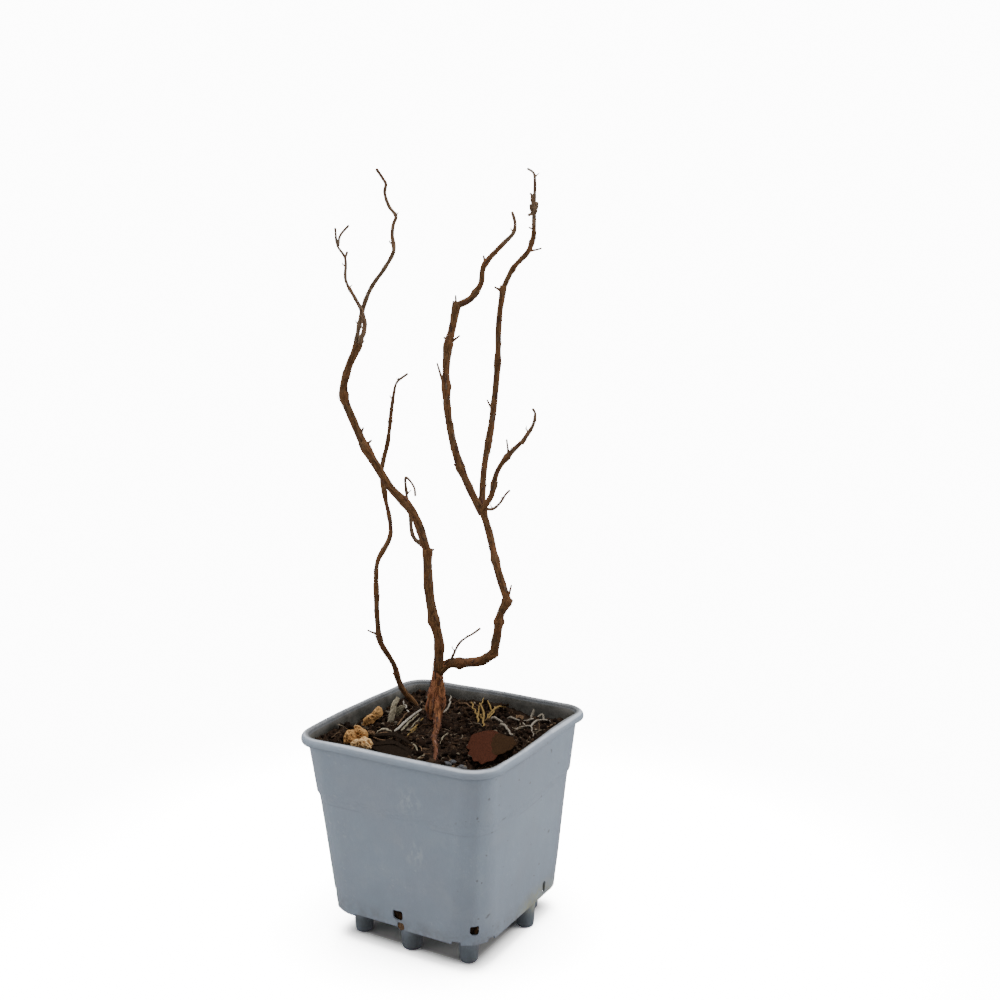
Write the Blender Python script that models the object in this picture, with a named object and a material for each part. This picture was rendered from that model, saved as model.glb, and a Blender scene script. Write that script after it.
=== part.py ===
"""A bare, twining raspberry cane in a square plastic nursery pot.

Metres, +Z up. The origin is on the ground under the pot's centre, and X and Y run along
the pot's sides. The canes spread in a plane that is turned against the pot, so a place on
the plant is named by three sizes in millimetres: across that plane, height above the
ground, and depth behind the pot's centre.
"""
import math

import bmesh
import bpy
import numpy as np
from mathutils import Matrix, Vector

MM = 0.001
GAP = 0.3 * MM                  # clearance between pieces that touch

# The pot: half widths of its square outline, and heights above the ground
FOOT_HEIGHT = 20 * MM
POT_HEIGHT = 150 * MM
BASE_HALF = 63.3 * MM
WALL_TOP_HALF = 73.9 * MM
RIM_HALF = 78.4 * MM            # outer edge of the rolled rim
RIM_BAND = 6 * MM               # height of the rolled rim
RIM_PROFILE = (                 # the roll: millimetres out from its outer edge, and up from its lower edge
    (-0.5, 0.2), (-0.1, 1.2), (0.0, 3.2), (-1.0, 5.2), (-2.4, 5.9), (-3.9, 6.0), (-5.0, 5.4),
)
INNER_LIP = 3.5 * MM            # the inner wall starts this far above the roll's lower edge
STEP_SLOPE = 1 * MM             # height over which the wall steps in
BASE_CORNER = 24 * MM           # corner radius at the base
TOP_CORNER = 16.7 * MM          # corner radius under the rim
WALL = 1.5 * MM
STEP_DROP = 40 * MM             # the wall steps in by STEP_IN this far below the rim
STEP_IN = 1 * MM
SKIRT = 3 * MM                  # the wall reaches this far below the floor
FLOOR = 1.8 * MM
CORNER_STEPS = 6                # facets of each rounded corner

FOOT_TOP_RADIUS = 7.6 * MM
FOOT_RADIUS = 6 * MM
FOOT_ROUNDING = 1.5 * MM
FOOT_SIDES = 16
CORNER_FOOT_INSET = 43.5 * MM   # feet under the corners, from both middle lines
FRONT_FOOT_INSET = 47.5 * MM    # feet under the middle of the front and back walls
SIDE_FOOT_INSET = 54 * MM       # feet under the side walls, which stand off the middle
SIDE_FOOT_OFFSET = 18 * MM

DRAIN_SIZE = (7.5 * MM, 12 * MM)
DRAIN_HEIGHT = 29 * MM          # centre of the drain holes in the front and back walls
CORNER_DRAIN_SIZE = (7.5 * MM, 6.5 * MM)
CORNER_DRAIN_HEIGHT = 31.5 * MM
SLIT_SIZE = (4 * MM, 9 * MM)
SLIT_OFFSET = 28 * MM           # the slits in the side walls stand off the middle
SLIT_HEIGHT = 27 * MM
CUTTER_DEPTH = 14 * MM
NOTCH_SIZE = (7 * MM, 5 * MM)   # notches in the skirt, on both sides of each corner
NOTCH_OFFSET = 45 * MM

# The compost
SOIL_LEVEL = 139 * MM           # flat ground at the trunk's foot
SOIL_RELIEF = 4.8 * MM
SOIL_EDGE = 2 * MM              # the top meets the wall this far below its level
SOIL_RINGS = 11
SOIL_WAVES = (                  # waves per metre along X and Y, and phase, of the uneven top
    (61, 23, 0.4), (-37, 74, 1.9), (96, 58, 3.1), (-88, 41, 4.4), (29, -112, 5.2),
)
FLARE_CALM = 16 * MM            # the top is level this far round the trunk's foot,
THIN_STEM_CALM = 6 * MM         # round the thin stem
ROOT_CALM = 5 * MM              # and along the root that runs to the front
ROOT_CALM_SPOTS = 14

# The plant
PLANT_TURN = math.radians(30.69)
SAMPLE = 5.5 * MM               # distance between the rings of a limb
TWIG_SAMPLE = 4 * MM
SINK = 0.6                      # a spur's root lies this share of the limb's radius inside it
BUD_SEED = 7

SLATE_PLASTIC = ((0.245, 0.285, 0.325, 1), 0.48)
COMPOST = ((0.030, 0.018, 0.012, 1), 0.95)
RED_BARK = ((0.150, 0.058, 0.034, 1), 0.85)
BROWN_BARK = ((0.075, 0.032, 0.018, 1), 0.80)
TWIG_BARK = ((0.110, 0.058, 0.036, 1), 0.82)


def clear_scene():
    for obj in list(bpy.data.objects):
        bpy.data.objects.remove(obj, do_unlink=True)


def new_collection(name):
    collection = bpy.data.collections.new(name)
    bpy.context.scene.collection.children.link(collection)
    return collection


clear_scene()
PARTS = new_collection("potted_raspberry_cane")
CUTTERS = new_collection("cutters")


def material(name, colour, roughness):
    finish = bpy.data.materials.new(name)
    finish.use_nodes = True
    shader = finish.node_tree.nodes["Principled BSDF"]
    shader.inputs["Base Color"].default_value = colour
    shader.inputs["Roughness"].default_value = roughness
    shader.inputs["Metallic"].default_value = 0.0
    finish.diffuse_color = colour
    return finish


def mesh_object(name, mesh, collection):
    obj = bpy.data.objects.new(name, mesh)
    collection.objects.link(obj)
    return obj


def remove_object(obj):
    mesh = obj.data
    bpy.data.objects.remove(obj, do_unlink=True)
    if mesh.users == 0:
        bpy.data.meshes.remove(mesh)


def evaluated_mesh(obj):
    graph = bpy.context.evaluated_depsgraph_get()
    graph.update()
    return bpy.data.meshes.new_from_object(obj.evaluated_get(graph))


def is_closed(mesh):
    """True where the mesh has faces and each edge joins exactly two of them."""
    work = bmesh.new()
    work.from_mesh(mesh)
    closed = len(work.faces) > 0 and all(len(edge.link_faces) == 2 for edge in work.edges)
    work.free()
    return closed


def boolean(obj, other, operation, folds=False):
    """Apply one Boolean, exact where that closes, against an object, which may fold into itself,
    or a whole collection."""
    for solver in ("EXACT", "MANIFOLD"):
        modifier = obj.modifiers.new("cut", "BOOLEAN")
        modifier.operation = operation
        modifier.solver = solver
        modifier.use_self = folds
        if isinstance(other, bpy.types.Collection):
            modifier.operand_type = "COLLECTION"
            modifier.collection = other
        else:
            modifier.object = other
        mesh = evaluated_mesh(obj)
        obj.modifiers.remove(modifier)
        if is_closed(mesh):
            obj.data = mesh
            return
    raise RuntimeError("no solver closes " + obj.name)


def fuse(obj, pieces):
    """Join pieces to obj by one Boolean union on their collection, then drop the pieces."""
    if not pieces:
        return
    group = new_collection(obj.name + "_pieces")
    for piece in pieces:
        CUTTERS.objects.unlink(piece)
        group.objects.link(piece)
    boolean(obj, group, "UNION")
    for piece in pieces:
        remove_object(piece)
    bpy.data.collections.remove(group)


def swollen_copy(obj, margin):
    """Return a hidden copy of obj whose faces stand out by margin."""
    copy = mesh_object("swollen_" + obj.name, obj.data.copy(), CUTTERS)
    work = bmesh.new()
    work.from_mesh(copy.data)
    bmesh.ops.remove_doubles(work, verts=work.verts, dist=1e-6)
    work.normal_update()
    for vert, reach in [(v, min(v.calc_shell_factor(), 2.5)) for v in work.verts]:
        vert.co += vert.normal * margin * reach
    work.to_mesh(copy.data)
    work.free()
    copy.hide_render = True
    copy.display_type = "WIRE"
    return copy


def clear_of(obj, neighbours):
    """Cut obj back so that it stays GAP away from each neighbour."""
    for neighbour in neighbours:
        cutter = swollen_copy(neighbour, GAP * 1.15)
        boolean(obj, cutter, "DIFFERENCE", folds=True)
        remove_object(cutter)


def keep_largest_body(obj):
    """Drop the loose scraps that a cut has left."""
    work = bmesh.new()
    work.from_mesh(obj.data)
    work.verts.ensure_lookup_table()
    unseen = set(work.verts)
    bodies = []
    while unseen:
        seed = unseen.pop()
        body, edge_of_search = {seed}, [seed]
        while edge_of_search:
            vert = edge_of_search.pop()
            for edge in vert.link_edges:
                other = edge.other_vert(vert)
                if other in unseen:
                    unseen.discard(other)
                    body.add(other)
                    edge_of_search.append(other)
        bodies.append(body)
    bodies.sort(key=len)
    for body in bodies[:-1]:
        bmesh.ops.delete(work, geom=list(body), context="VERTS")
    work.to_mesh(obj.data)
    work.free()


def finish_piece(obj, finish, smooth_angle=math.radians(40)):
    """Smooth and dress a finished piece, and move it to the parts."""
    work = bmesh.new()
    work.from_mesh(obj.data)
    bmesh.ops.triangulate(work, faces=work.faces)
    work.to_mesh(obj.data)
    work.free()
    keep_largest_body(obj)
    obj.data.shade_smooth()
    obj.data.set_sharp_from_angle(angle=smooth_angle)
    obj.data.materials.clear()
    obj.data.materials.append(finish)
    CUTTERS.objects.unlink(obj)
    PARTS.objects.link(obj)
    return obj


def rounded_square(half, corner, height):
    """Return the ring of a square outline with round corners, anticlockwise from above."""
    ring = []
    for quarter in range(4):
        turn = quarter * math.pi / 2
        for step in range(CORNER_STEPS + 1):
            angle = math.pi / 2 * step / CORNER_STEPS
            x = half - corner + corner * math.cos(angle)
            y = half - corner + corner * math.sin(angle)
            ring.append((x * math.cos(turn) - y * math.sin(turn),
                         x * math.sin(turn) + y * math.cos(turn), height))
    return ring


def loft(name, rings):
    """Join rings of equal length in order and close both ends with a flat face."""
    work = bmesh.new()
    loops = [[work.verts.new(point) for point in ring] for ring in rings]
    count = len(rings[0])
    for lower, upper in zip(loops, loops[1:]):
        for i in range(count):
            j = (i + 1) % count
            work.faces.new((lower[i], lower[j], upper[j], upper[i]))
    work.faces.new(list(reversed(loops[0])))
    work.faces.new(loops[-1])
    bmesh.ops.recalc_face_normals(work, faces=work.faces)
    mesh = bpy.data.meshes.new(name)
    work.to_mesh(mesh)
    work.free()
    return mesh_object(name, mesh, CUTTERS)


def wall_at(height, inside=0.0):
    """Return half width and corner radius of the pot's wall at a height, moved inwards."""
    share = (height - FOOT_HEIGHT) / (POT_HEIGHT - FOOT_HEIGHT)
    half = BASE_HALF + (WALL_TOP_HALF - STEP_IN - BASE_HALF) * share
    corner = BASE_CORNER + (TOP_CORNER - BASE_CORNER) * share
    if height > POT_HEIGHT - STEP_DROP:
        half += STEP_IN
    return half - inside, corner - inside * 0.8


def block(name, size, centre, turn=0.0):
    """A box cutter, turned about the vertical through the origin after it is placed."""
    work = bmesh.new()
    bmesh.ops.create_cube(work, size=1.0)
    bmesh.ops.scale(work, vec=size, verts=work.verts)
    bmesh.ops.translate(work, vec=centre, verts=work.verts)
    bmesh.ops.rotate(work, cent=(0, 0, 0), matrix=Matrix.Rotation(turn, 3, "Z"), verts=work.verts)
    mesh = bpy.data.meshes.new(name)
    work.to_mesh(mesh)
    work.free()
    return mesh_object(name, mesh, CUTTERS)


def pot_shell():
    """Loft the wall up the outside, over the rolled rim and down the inside to the floor."""
    step = POT_HEIGHT - STEP_DROP
    under_rim = POT_HEIGHT - RIM_BAND
    floor_top = FOOT_HEIGHT + SKIRT + FLOOR
    rim_corner = TOP_CORNER + RIM_HALF - WALL_TOP_HALF
    rings = [
        rounded_square(*wall_at(FOOT_HEIGHT + SKIRT, WALL), FOOT_HEIGHT + SKIRT),
        rounded_square(*wall_at(FOOT_HEIGHT, WALL), FOOT_HEIGHT),
        rounded_square(*wall_at(FOOT_HEIGHT), FOOT_HEIGHT),
        rounded_square(*wall_at(step - STEP_SLOPE / 2), step - STEP_SLOPE / 2),
        rounded_square(*wall_at(step + STEP_SLOPE / 2), step + STEP_SLOPE / 2),
        rounded_square(WALL_TOP_HALF, TOP_CORNER, under_rim),
    ]
    for outwards, up in RIM_PROFILE:
        out = outwards * MM
        rings.append(rounded_square(RIM_HALF + out, rim_corner + out, under_rim + up * MM))
    for height in (under_rim + INNER_LIP, step + STEP_SLOPE / 2, step - STEP_SLOPE / 2, floor_top):
        rings.append(rounded_square(*wall_at(height, WALL), height))
    return loft("pot", rings)


def foot(x, y):
    """One tapered foot that reaches from the ground up into the floor."""
    top = FOOT_HEIGHT + SKIRT + FLOOR / 2
    work = bmesh.new()
    made = bmesh.ops.create_cone(
        work, cap_ends=True, segments=FOOT_SIDES, radius1=FOOT_RADIUS, radius2=FOOT_TOP_RADIUS, depth=top)
    bmesh.ops.translate(work, vec=(x, y, top / 2), verts=made["verts"])
    low_edges = [e for e in work.edges if all(v.co.z < 1e-6 for v in e.verts)]
    bmesh.ops.bevel(work, geom=low_edges, offset=FOOT_ROUNDING, segments=2, affect="EDGES", profile=0.5)
    mesh = bpy.data.meshes.new("foot")
    work.to_mesh(mesh)
    work.free()
    return mesh_object("foot", mesh, CUTTERS)


def drain_cutters():
    """Boxes through the walls: middle holes, corner holes, side slits and the skirt's notches."""
    wall = wall_at(DRAIN_HEIGHT)[0]
    corner_half, corner_radius = wall_at(CORNER_DRAIN_HEIGHT)
    corner_reach = (corner_half - corner_radius) * math.sqrt(2) + corner_radius
    boxes = []
    for quarter in range(4):
        turn = quarter * math.pi / 2
        boxes.append(block("corner_drain", (CUTTER_DEPTH, *CORNER_DRAIN_SIZE),
                           (corner_reach, 0, CORNER_DRAIN_HEIGHT), turn + math.pi / 4))
        if quarter % 2:
            boxes.append(block("drain", (CUTTER_DEPTH, *DRAIN_SIZE), (wall, 0, DRAIN_HEIGHT), turn))
        else:
            boxes.append(block("slit", (CUTTER_DEPTH, *SLIT_SIZE), (wall, SLIT_OFFSET, SLIT_HEIGHT), turn))
        for side in (-1, 1):
            spot = (BASE_HALF, side * NOTCH_OFFSET, FOOT_HEIGHT)
            boxes.append(block("notch", (CUTTER_DEPTH, *NOTCH_SIZE), spot, turn))
    return boxes


def make_pot():
    """The shell, its eight feet and its drain holes as one solid."""
    pot = pot_shell()
    feet = []
    for side in (-1, 1):
        feet.append(foot(CORNER_FOOT_INSET * side, CORNER_FOOT_INSET))
        feet.append(foot(CORNER_FOOT_INSET * side, -CORNER_FOOT_INSET))
        feet.append(foot(0.0, FRONT_FOOT_INSET * side))
        feet.append(foot(SIDE_FOOT_INSET * side, SIDE_FOOT_OFFSET * side))
    fuse(pot, feet)
    for cutter in drain_cutters():
        boolean(pot, cutter, "DIFFERENCE")
        remove_object(cutter)
    return finish_piece(pot, material("slate_plastic", *SLATE_PLASTIC), math.radians(50))


def place(across, height, depth):
    """Turn a place on the plant, in millimetres, into a point in the pot's frame."""
    cos, sin = math.cos(PLANT_TURN), math.sin(PLANT_TURN)
    return Vector(((across * cos - depth * sin) * MM, (across * sin + depth * cos) * MM, height * MM))


def soil_top(x, y, flat_spots):
    """Height of the compost: crossing sine waves that die out round each flat spot and the wall."""
    wave = sum(math.sin(a * x + b * y + phase) for a, b, phase in SOIL_WAVES) / len(SOIL_WAVES)
    calm = 1.0
    for spot, radius in flat_spots:
        away = math.hypot(x - spot.x, y - spot.y)
        calm *= min(1.0, max(0.0, away / radius - 1.0))
    return SOIL_LEVEL + SOIL_RELIEF * wave * calm


def make_soil(flat_spots, standing):
    """A block that fills the pot, with an uneven top that stays clear of what stands in it."""
    inside = WALL + GAP
    bottom = FOOT_HEIGHT + SKIRT + FLOOR + GAP
    step = POT_HEIGHT - STEP_DROP
    rings = [rounded_square(*wall_at(height, inside), height)
             for height in (bottom, step - STEP_SLOPE / 2, step + STEP_SLOPE / 2, SOIL_LEVEL - 2 * SOIL_EDGE)]
    outline = rounded_square(*wall_at(SOIL_LEVEL - SOIL_EDGE, inside), 0.0)
    for ring in range(SOIL_RINGS):
        share = 1.0 - ring / SOIL_RINGS
        spots = [(x * share, y * share) for x, y, _ in outline]
        rings.append([(x, y, soil_top(x, y, flat_spots)) for x, y in spots])
    soil = loft("soil", rings)
    clear_of(soil, standing)
    return finish_piece(soil, material("compost", *COMPOST))


def smooth_path(knots, spacing):
    """Points about spacing apart on a centripetal Catmull-Rom curve through the knots."""
    points = np.array([place(*knot) for knot in knots])
    if len(points) == 2:
        points = np.array([points[0], (points[0] + points[1]) / 2, points[1]])
    ends = [2 * points[0] - points[1], *points, 2 * points[-1] - points[-2]]
    path = []
    for p0, p1, p2, p3 in zip(ends, ends[1:], ends[2:], ends[3:]):
        t0 = 0.0
        t1 = t0 + math.sqrt(np.linalg.norm(p1 - p0))
        t2 = t1 + math.sqrt(np.linalg.norm(p2 - p1))
        t3 = t2 + math.sqrt(np.linalg.norm(p3 - p2))
        steps = max(1, round(np.linalg.norm(p2 - p1) / spacing))
        for step in range(steps):
            t = t1 + (t2 - t1) * step / steps
            a1 = p0 + (p1 - p0) * (t - t0) / (t1 - t0)
            a2 = p1 + (p2 - p1) * (t - t1) / (t2 - t1)
            a3 = p2 + (p3 - p2) * (t - t2) / (t3 - t2)
            b1 = a1 + (a2 - a1) * (t - t0) / (t2 - t0)
            b2 = a2 + (a3 - a2) * (t - t1) / (t3 - t1)
            path.append(b1 + (b2 - b1) * (t - t1) / (t2 - t1))
    path.append(points[-1])
    return np.array(path)


def shares_along(path):
    """How far along the path each point lies, from 0 to 1."""
    steps = np.linalg.norm(np.diff(path, axis=0), axis=1)
    run = np.concatenate([[0.0], np.cumsum(steps)])
    return run / run[-1]


def tube(name, path, radii, sides=8):
    """A tapered tube along a path: a bevelled curve with filled caps, made a welded mesh."""
    curve = bpy.data.curves.new(name, "CURVE")
    curve.dimensions = "3D"
    curve.bevel_depth = MM
    curve.bevel_resolution = (sides - 4) // 2
    curve.use_fill_caps = True
    spline = curve.splines.new("POLY")
    spline.points.add(len(path) - 1)
    for point, spot, radius in zip(spline.points, path, radii):
        point.co = (*spot, 1.0)
        point.radius = radius / MM
    guide = bpy.data.objects.new(name + "_curve", curve)
    CUTTERS.objects.link(guide)
    graph = bpy.context.evaluated_depsgraph_get()
    mesh = bpy.data.meshes.new_from_object(guide.evaluated_get(graph))
    bpy.data.objects.remove(guide, do_unlink=True)
    bpy.data.curves.remove(curve)
    work = bmesh.new()
    work.from_mesh(mesh)
    bmesh.ops.remove_doubles(work, verts=work.verts, dist=1e-6)
    bmesh.ops.recalc_face_normals(work, faces=work.faces)
    work.to_mesh(mesh)
    work.free()
    return mesh_object(name, mesh, CUTTERS)


def tapered(path, thick, thin, nodes=(), swelling=0.25):
    """Radii that fall evenly from thick to thin and swell a little at each node."""
    share = shares_along(path)
    radii = thick + (thin - thick) * share
    for node in nodes:
        radii = radii * (1 + swelling * np.exp(-((share - node) / 0.05) ** 2))
    return radii


def spur(limb_path, limb_radii, at, aim, length, thick, thin=0.35 * MM, bend=0.15):
    """A short side shoot: it leaves the limb's inside at a share of its length and curves upwards."""
    index = int(np.argmin(np.abs(shares_along(limb_path) - at)))
    aim = np.array(place(*aim))
    aim = aim / np.linalg.norm(aim)
    start = limb_path[index] + aim * limb_radii[index] * (1 - SINK)
    reach = limb_radii[index] * SINK + length
    run = np.linspace(0.0, 1.0, 4)
    path = np.array([start + aim * reach * t + np.array([0, 0, reach * bend * t * t]) for t in run])
    radii = thick + (thin - thick) * run
    return tube("spur", path, radii, sides=6)


def side_buds(path, radii, spacing, rule):
    """Seeded rule of the twigs: a bud or short shoot at each node, on alternate sides."""
    length = np.linalg.norm(np.diff(path, axis=0), axis=1).sum()
    count = int(length / spacing)
    buds = []
    for number in range(1, count + 1):
        at = (number - 0.4) / (count + 0.4)
        turn = number * math.radians(137.5) + rule.uniform(-0.4, 0.4)
        aim = (math.cos(turn), 0.75, math.sin(turn))
        reach = rule.uniform(1.4, 3.2) * MM
        index = int(np.argmin(np.abs(shares_along(path) - at)))
        buds.append(spur(path, radii, at, aim, reach, radii[index] * 0.75, 0.3 * MM))
    return buds


def cut_at_ground(obj):
    """Cut the foot of a stem flat, a gap above the compost."""
    ground = block("ground", (0.3, 0.3, 0.1), (0, 0, SOIL_LEVEL + GAP - 0.05))
    boolean(obj, ground, "DIFFERENCE")
    remove_object(ground)


def make_limb(name, knots, radii, finish, neighbours=(), nodes=(), spurs=(), sides=8, rooted=False):
    """One tapering limb with its spurs, cut clear of what it grows from, or at the ground."""
    path = smooth_path(knots, SAMPLE)
    widths = tapered(path, radii[0] * MM, radii[1] * MM, nodes)
    limb = tube(name, path, widths, sides)
    fuse(limb, [spur(path, widths, at, aim, length * MM, thick * MM) for at, aim, length, thick in spurs])
    clear_of(limb, neighbours)
    if rooted:
        cut_at_ground(limb)
    return finish_piece(limb, finish)


def make_twigs(name, knots, radii, finish, neighbours, seed, forks=(), bud_spacing=16 * MM):
    """One mass of twigs: a stem, its named forks, and side buds by the seeded rule."""
    rule = np.random.default_rng(BUD_SEED + seed)
    path = smooth_path(knots, TWIG_SAMPLE)
    widths = tapered(path, radii[0] * MM, radii[1] * MM)
    mass = tube(name, path, widths, sides=6)
    pieces = side_buds(path, widths, bud_spacing, rule)
    for fork_knots, fork_radii in forks:
        fork_path = smooth_path(fork_knots, TWIG_SAMPLE)
        fork_widths = tapered(fork_path, fork_radii[0] * MM, fork_radii[1] * MM)
        pieces.append(tube("fork", fork_path, fork_widths, sides=6))
    fuse(mass, pieces)
    clear_of(mass, neighbours)
    return finish_piece(mass, finish)


# The trunk's foot, its fork, and the foot of the thin stem: across, height, depth
TRUNK_FOOT = (-7.7, 139.0, 34.0)
FORK = (-5.3, 179.0, 30.0)
THIN_FOOT = (-24.0, 139.0, 65.5)
ROOT_END = (-6.6, 139.0, -50.0)     # where the long surface root dips into the compost
# The trunk's radius at its foot, how much it swells above that, and how much thinner it ends
TRUNK_RADIUS = 5 * MM
TRUNK_SWELLING = 1.9 * MM
TRUNK_TAPER = 0.9 * MM
# Strands of the flare: bearing in the plant's frame in degrees, reach and thickness in millimetres
FLARE = ((188, 6.4, 3.4), (245, 6.0, 3.0), (5, 5.4, 3.2), (62, 7.0, 3.0), (120, 8.0, 3.2), (312, 5.0, 2.8))


def make_trunk(finish):
    """The trunk, with strands that flare into short roots all round and one long root to the front."""
    foot_point = np.array(TRUNK_FOOT)
    path = smooth_path([(-8.2, 134, 34.5), (-7.2, 150, 33.2), (-6.2, 166, 31), FORK], SAMPLE)
    share = shares_along(path)
    widths = TRUNK_RADIUS + TRUNK_SWELLING * np.exp(-((share - 0.35) / 0.30) ** 2) - TRUNK_TAPER * share
    trunk = tube("trunk", path, widths)
    strands = []
    for bearing, reach, thick in FLARE:
        turn = math.radians(bearing)
        out = np.array([math.cos(turn), 0.0, math.sin(turn)])
        high = foot_point + out * 2.2 + np.array([1.0, 24.0, -1.5])
        middle = foot_point + out * reach * 0.72 + np.array([0.3, 9.0, 0])
        low = foot_point + out * reach + np.array([0, -2.0, 0])
        strand_path = smooth_path([high, middle, low], SAMPLE)
        strands.append(tube("strand", strand_path, tapered(strand_path, thick * MM, thick * 0.75 * MM)))
    front = smooth_path([(-7.0, 161, 30), (-6.8, 148, 25.5), (-6.3, 141.2, 16), (-7.6, 140.0, -8),
                         (-6.0, 139.2, -30), ROOT_END], SAMPLE)
    strands.append(tube("front_root", front, tapered(front, 3.6 * MM, 1.0 * MM)))
    fuse(trunk, strands)
    cut_at_ground(trunk)
    return finish_piece(trunk, finish)


def make_plant():
    """Stems from the compost upwards, then the masses of twigs that they end in."""
    red = material("red_bark", *RED_BARK)
    brown = material("brown_bark", *BROWN_BARK)
    pale = material("twig_bark", *TWIG_BARK)

    trunk = make_trunk(red)

    left_lower = make_limb(
        "left_cane_lower",
        [FORK, (-4.5, 200.1, 28), (-8.1, 217.0, 29), (-11.1, 237.3, 31), (-12.0, 266.0, 33)],
        (3.7, 3.2), brown, [trunk], nodes=(0.42, 0.97), spurs=[(0.98, (1, 0.4, 0), 1.8, 1.5)])
    left_middle = make_limb(
        "left_cane_middle",
        [(-12.0, 265.5, 33), (-18.7, 288.2, 29), (-25.3, 300.7, 24), (-36.0, 313.5, 20),
         (-46.8, 331.0, 20), (-55.0, 344.8, 22)],
        (3.1, 2.8), brown, [left_lower], nodes=(0.45, 0.96),
        spurs=[(0.97, (0.5, 1, -0.2), 4.0, 0.9), (0.90, (1, 0.4, -0.5), 3.4, 0.9)])
    left_upper = make_limb(
        "left_cane_upper",
        [(-54.8, 344.4, 22), (-61.5, 361.3, 22), (-67.2, 379.3, 18), (-63.9, 395.2, 13), (-55.6, 413.4, 9)],
        (2.8, 2.6), brown, [left_middle], nodes=(0.50, 0.97), spurs=[(0.93, (1, 1.0, -0.3), 6.5, 1.1)])

    right_base = make_limb(
        "right_cane_base",
        [(-4.2, 177.0, 30), (2.6, 182.2, 31), (12.7, 182.6, 31), (25.5, 185.1, 27), (35.2, 193.0, 19)],
        (3.4, 3.0), brown, [trunk, left_lower], nodes=(0.35, 0.97))
    right_lower = make_limb(
        "right_cane_lower",
        [(35.0, 192.6, 19.3), (38.0, 212.4, 14), (39.9, 223.9, 12), (45.1, 234.4, 10)],
        (3.0, 3.0), brown, [right_base], nodes=(0.60, 0.97), spurs=[(0.95, (0.3, 1, -0.2), 9.0, 1.2)])
    right_upper = make_limb(
        "right_cane_upper",
        [(44.6, 234.6, 10.2), (38.3, 255.3, 14), (32.3, 281.0, 22), (27.6, 297.3, 25)],
        (2.8, 2.4), brown, [right_lower], nodes=(0.45, 0.96))

    bough_left = make_limb(
        "right_bough_left_lower",
        [(27.0, 295.0, 25), (19.9, 310.0, 25), (11.1, 332.5, 22), (5.2, 360.4, 20), (3.5, 385.1, 20),
         (4.8, 408.9, 23), (8.8, 425.9, 25), (11.6, 440.5, 26)],
        (2.6, 2.4), brown, [right_upper], nodes=(0.28, 0.62, 0.80, 0.98),
        spurs=[(0.28, (-1, 0.2, 0), 1.2, 1.3), (0.60, (-0.35, 1, -0.2), 15.0, 1.3),
               (0.82, (1, 0.5, -0.4), 6.0, 1.1), (0.83, (-1, 0.5, 0), 1.3, 1.2),
               (0.985, (-0.05, 1, 0), 4.0, 0.8)])
    bough_left_top = make_limb(
        "right_bough_left_upper",
        [(11.2, 438.9, 26), (20.7, 443.4, 24), (28.0, 453.4, 20), (30.4, 465.4, 18), (43.7, 480.2, 17)],
        (2.2, 1.5), brown, [bough_left], nodes=(0.30, 0.68),
        spurs=[(0.68, (-0.3, 1, 0), 2.8, 1.0)])
    bough_middle = make_limb(
        "right_bough_middle_lower",
        [(27.2, 296.4, 26), (29.3, 323.3, 36), (35.4, 358.4, 40), (39.5, 397.2, 40), (40.8, 428.6, 38),
         (43.9, 451.0, 36)],
        (2.3, 1.9), brown, [right_upper, bough_left], nodes=(0.32, 0.66, 0.98),
        spurs=[(0.45, (-0.6, 1, 0.1), 6.0, 0.8), (0.985, (-1, 0.35, 0), 4.0, 1.2)])
    bough_middle_top = make_limb(
        "right_bough_middle_upper",
        [(43.6, 450.2, 36), (51.3, 464.7, 33), (60.8, 474.8, 30), (64.4, 484.9, 28), (64.8, 495.2, 27)],
        (1.8, 1.4), brown, [bough_middle], nodes=(0.30, 0.72), spurs=[(0.90, (-1, 0.3, -0.2), 2.4, 0.6)])
    bough_right = make_limb(
        "right_bough_right",
        [(27.8, 296.8, 24), (33.9, 307.6, 17), (38.1, 325.5, 10), (46.9, 339.3, 2), (56.2, 349.2, -4)],
        (2.0, 1.5), brown, [right_upper, bough_left, bough_middle], nodes=(0.35, 0.72),
        spurs=[(0.76, (-0.15, 1, -0.2), 8.0, 0.8)])

    thin_lower = make_limb(
        "thin_stem_lower",
        [(-22.6, 133.0, 66), THIN_FOOT, (-34.4, 157.0, 57.5), (-38.8, 176.5, 49), (-47.5, 196.4, 40),
         (-48.9, 213.1, 34), (-49.0, 241.6, 30)],
        (2.1, 1.7), brown, nodes=(0.33, 0.66, 0.98), spurs=[(0.67, (-1, 0.35, -0.3), 6.5, 1.0)], sides=6,
        rooted=True)
    thin_upper = make_limb(
        "thin_stem_upper",
        [(-49.0, 241.0, 30.1), (-47.5, 258.5, 30), (-38.1, 277.9, 33), (-40.9, 303.1, 34), (-43.2, 322.0, 33),
         (-38.2, 345.9, 32), (-35.0, 368.0, 28)],
        (1.7, 1.2), brown, [thin_lower], nodes=(0.22, 0.55, 0.80), sides=6)

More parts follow.
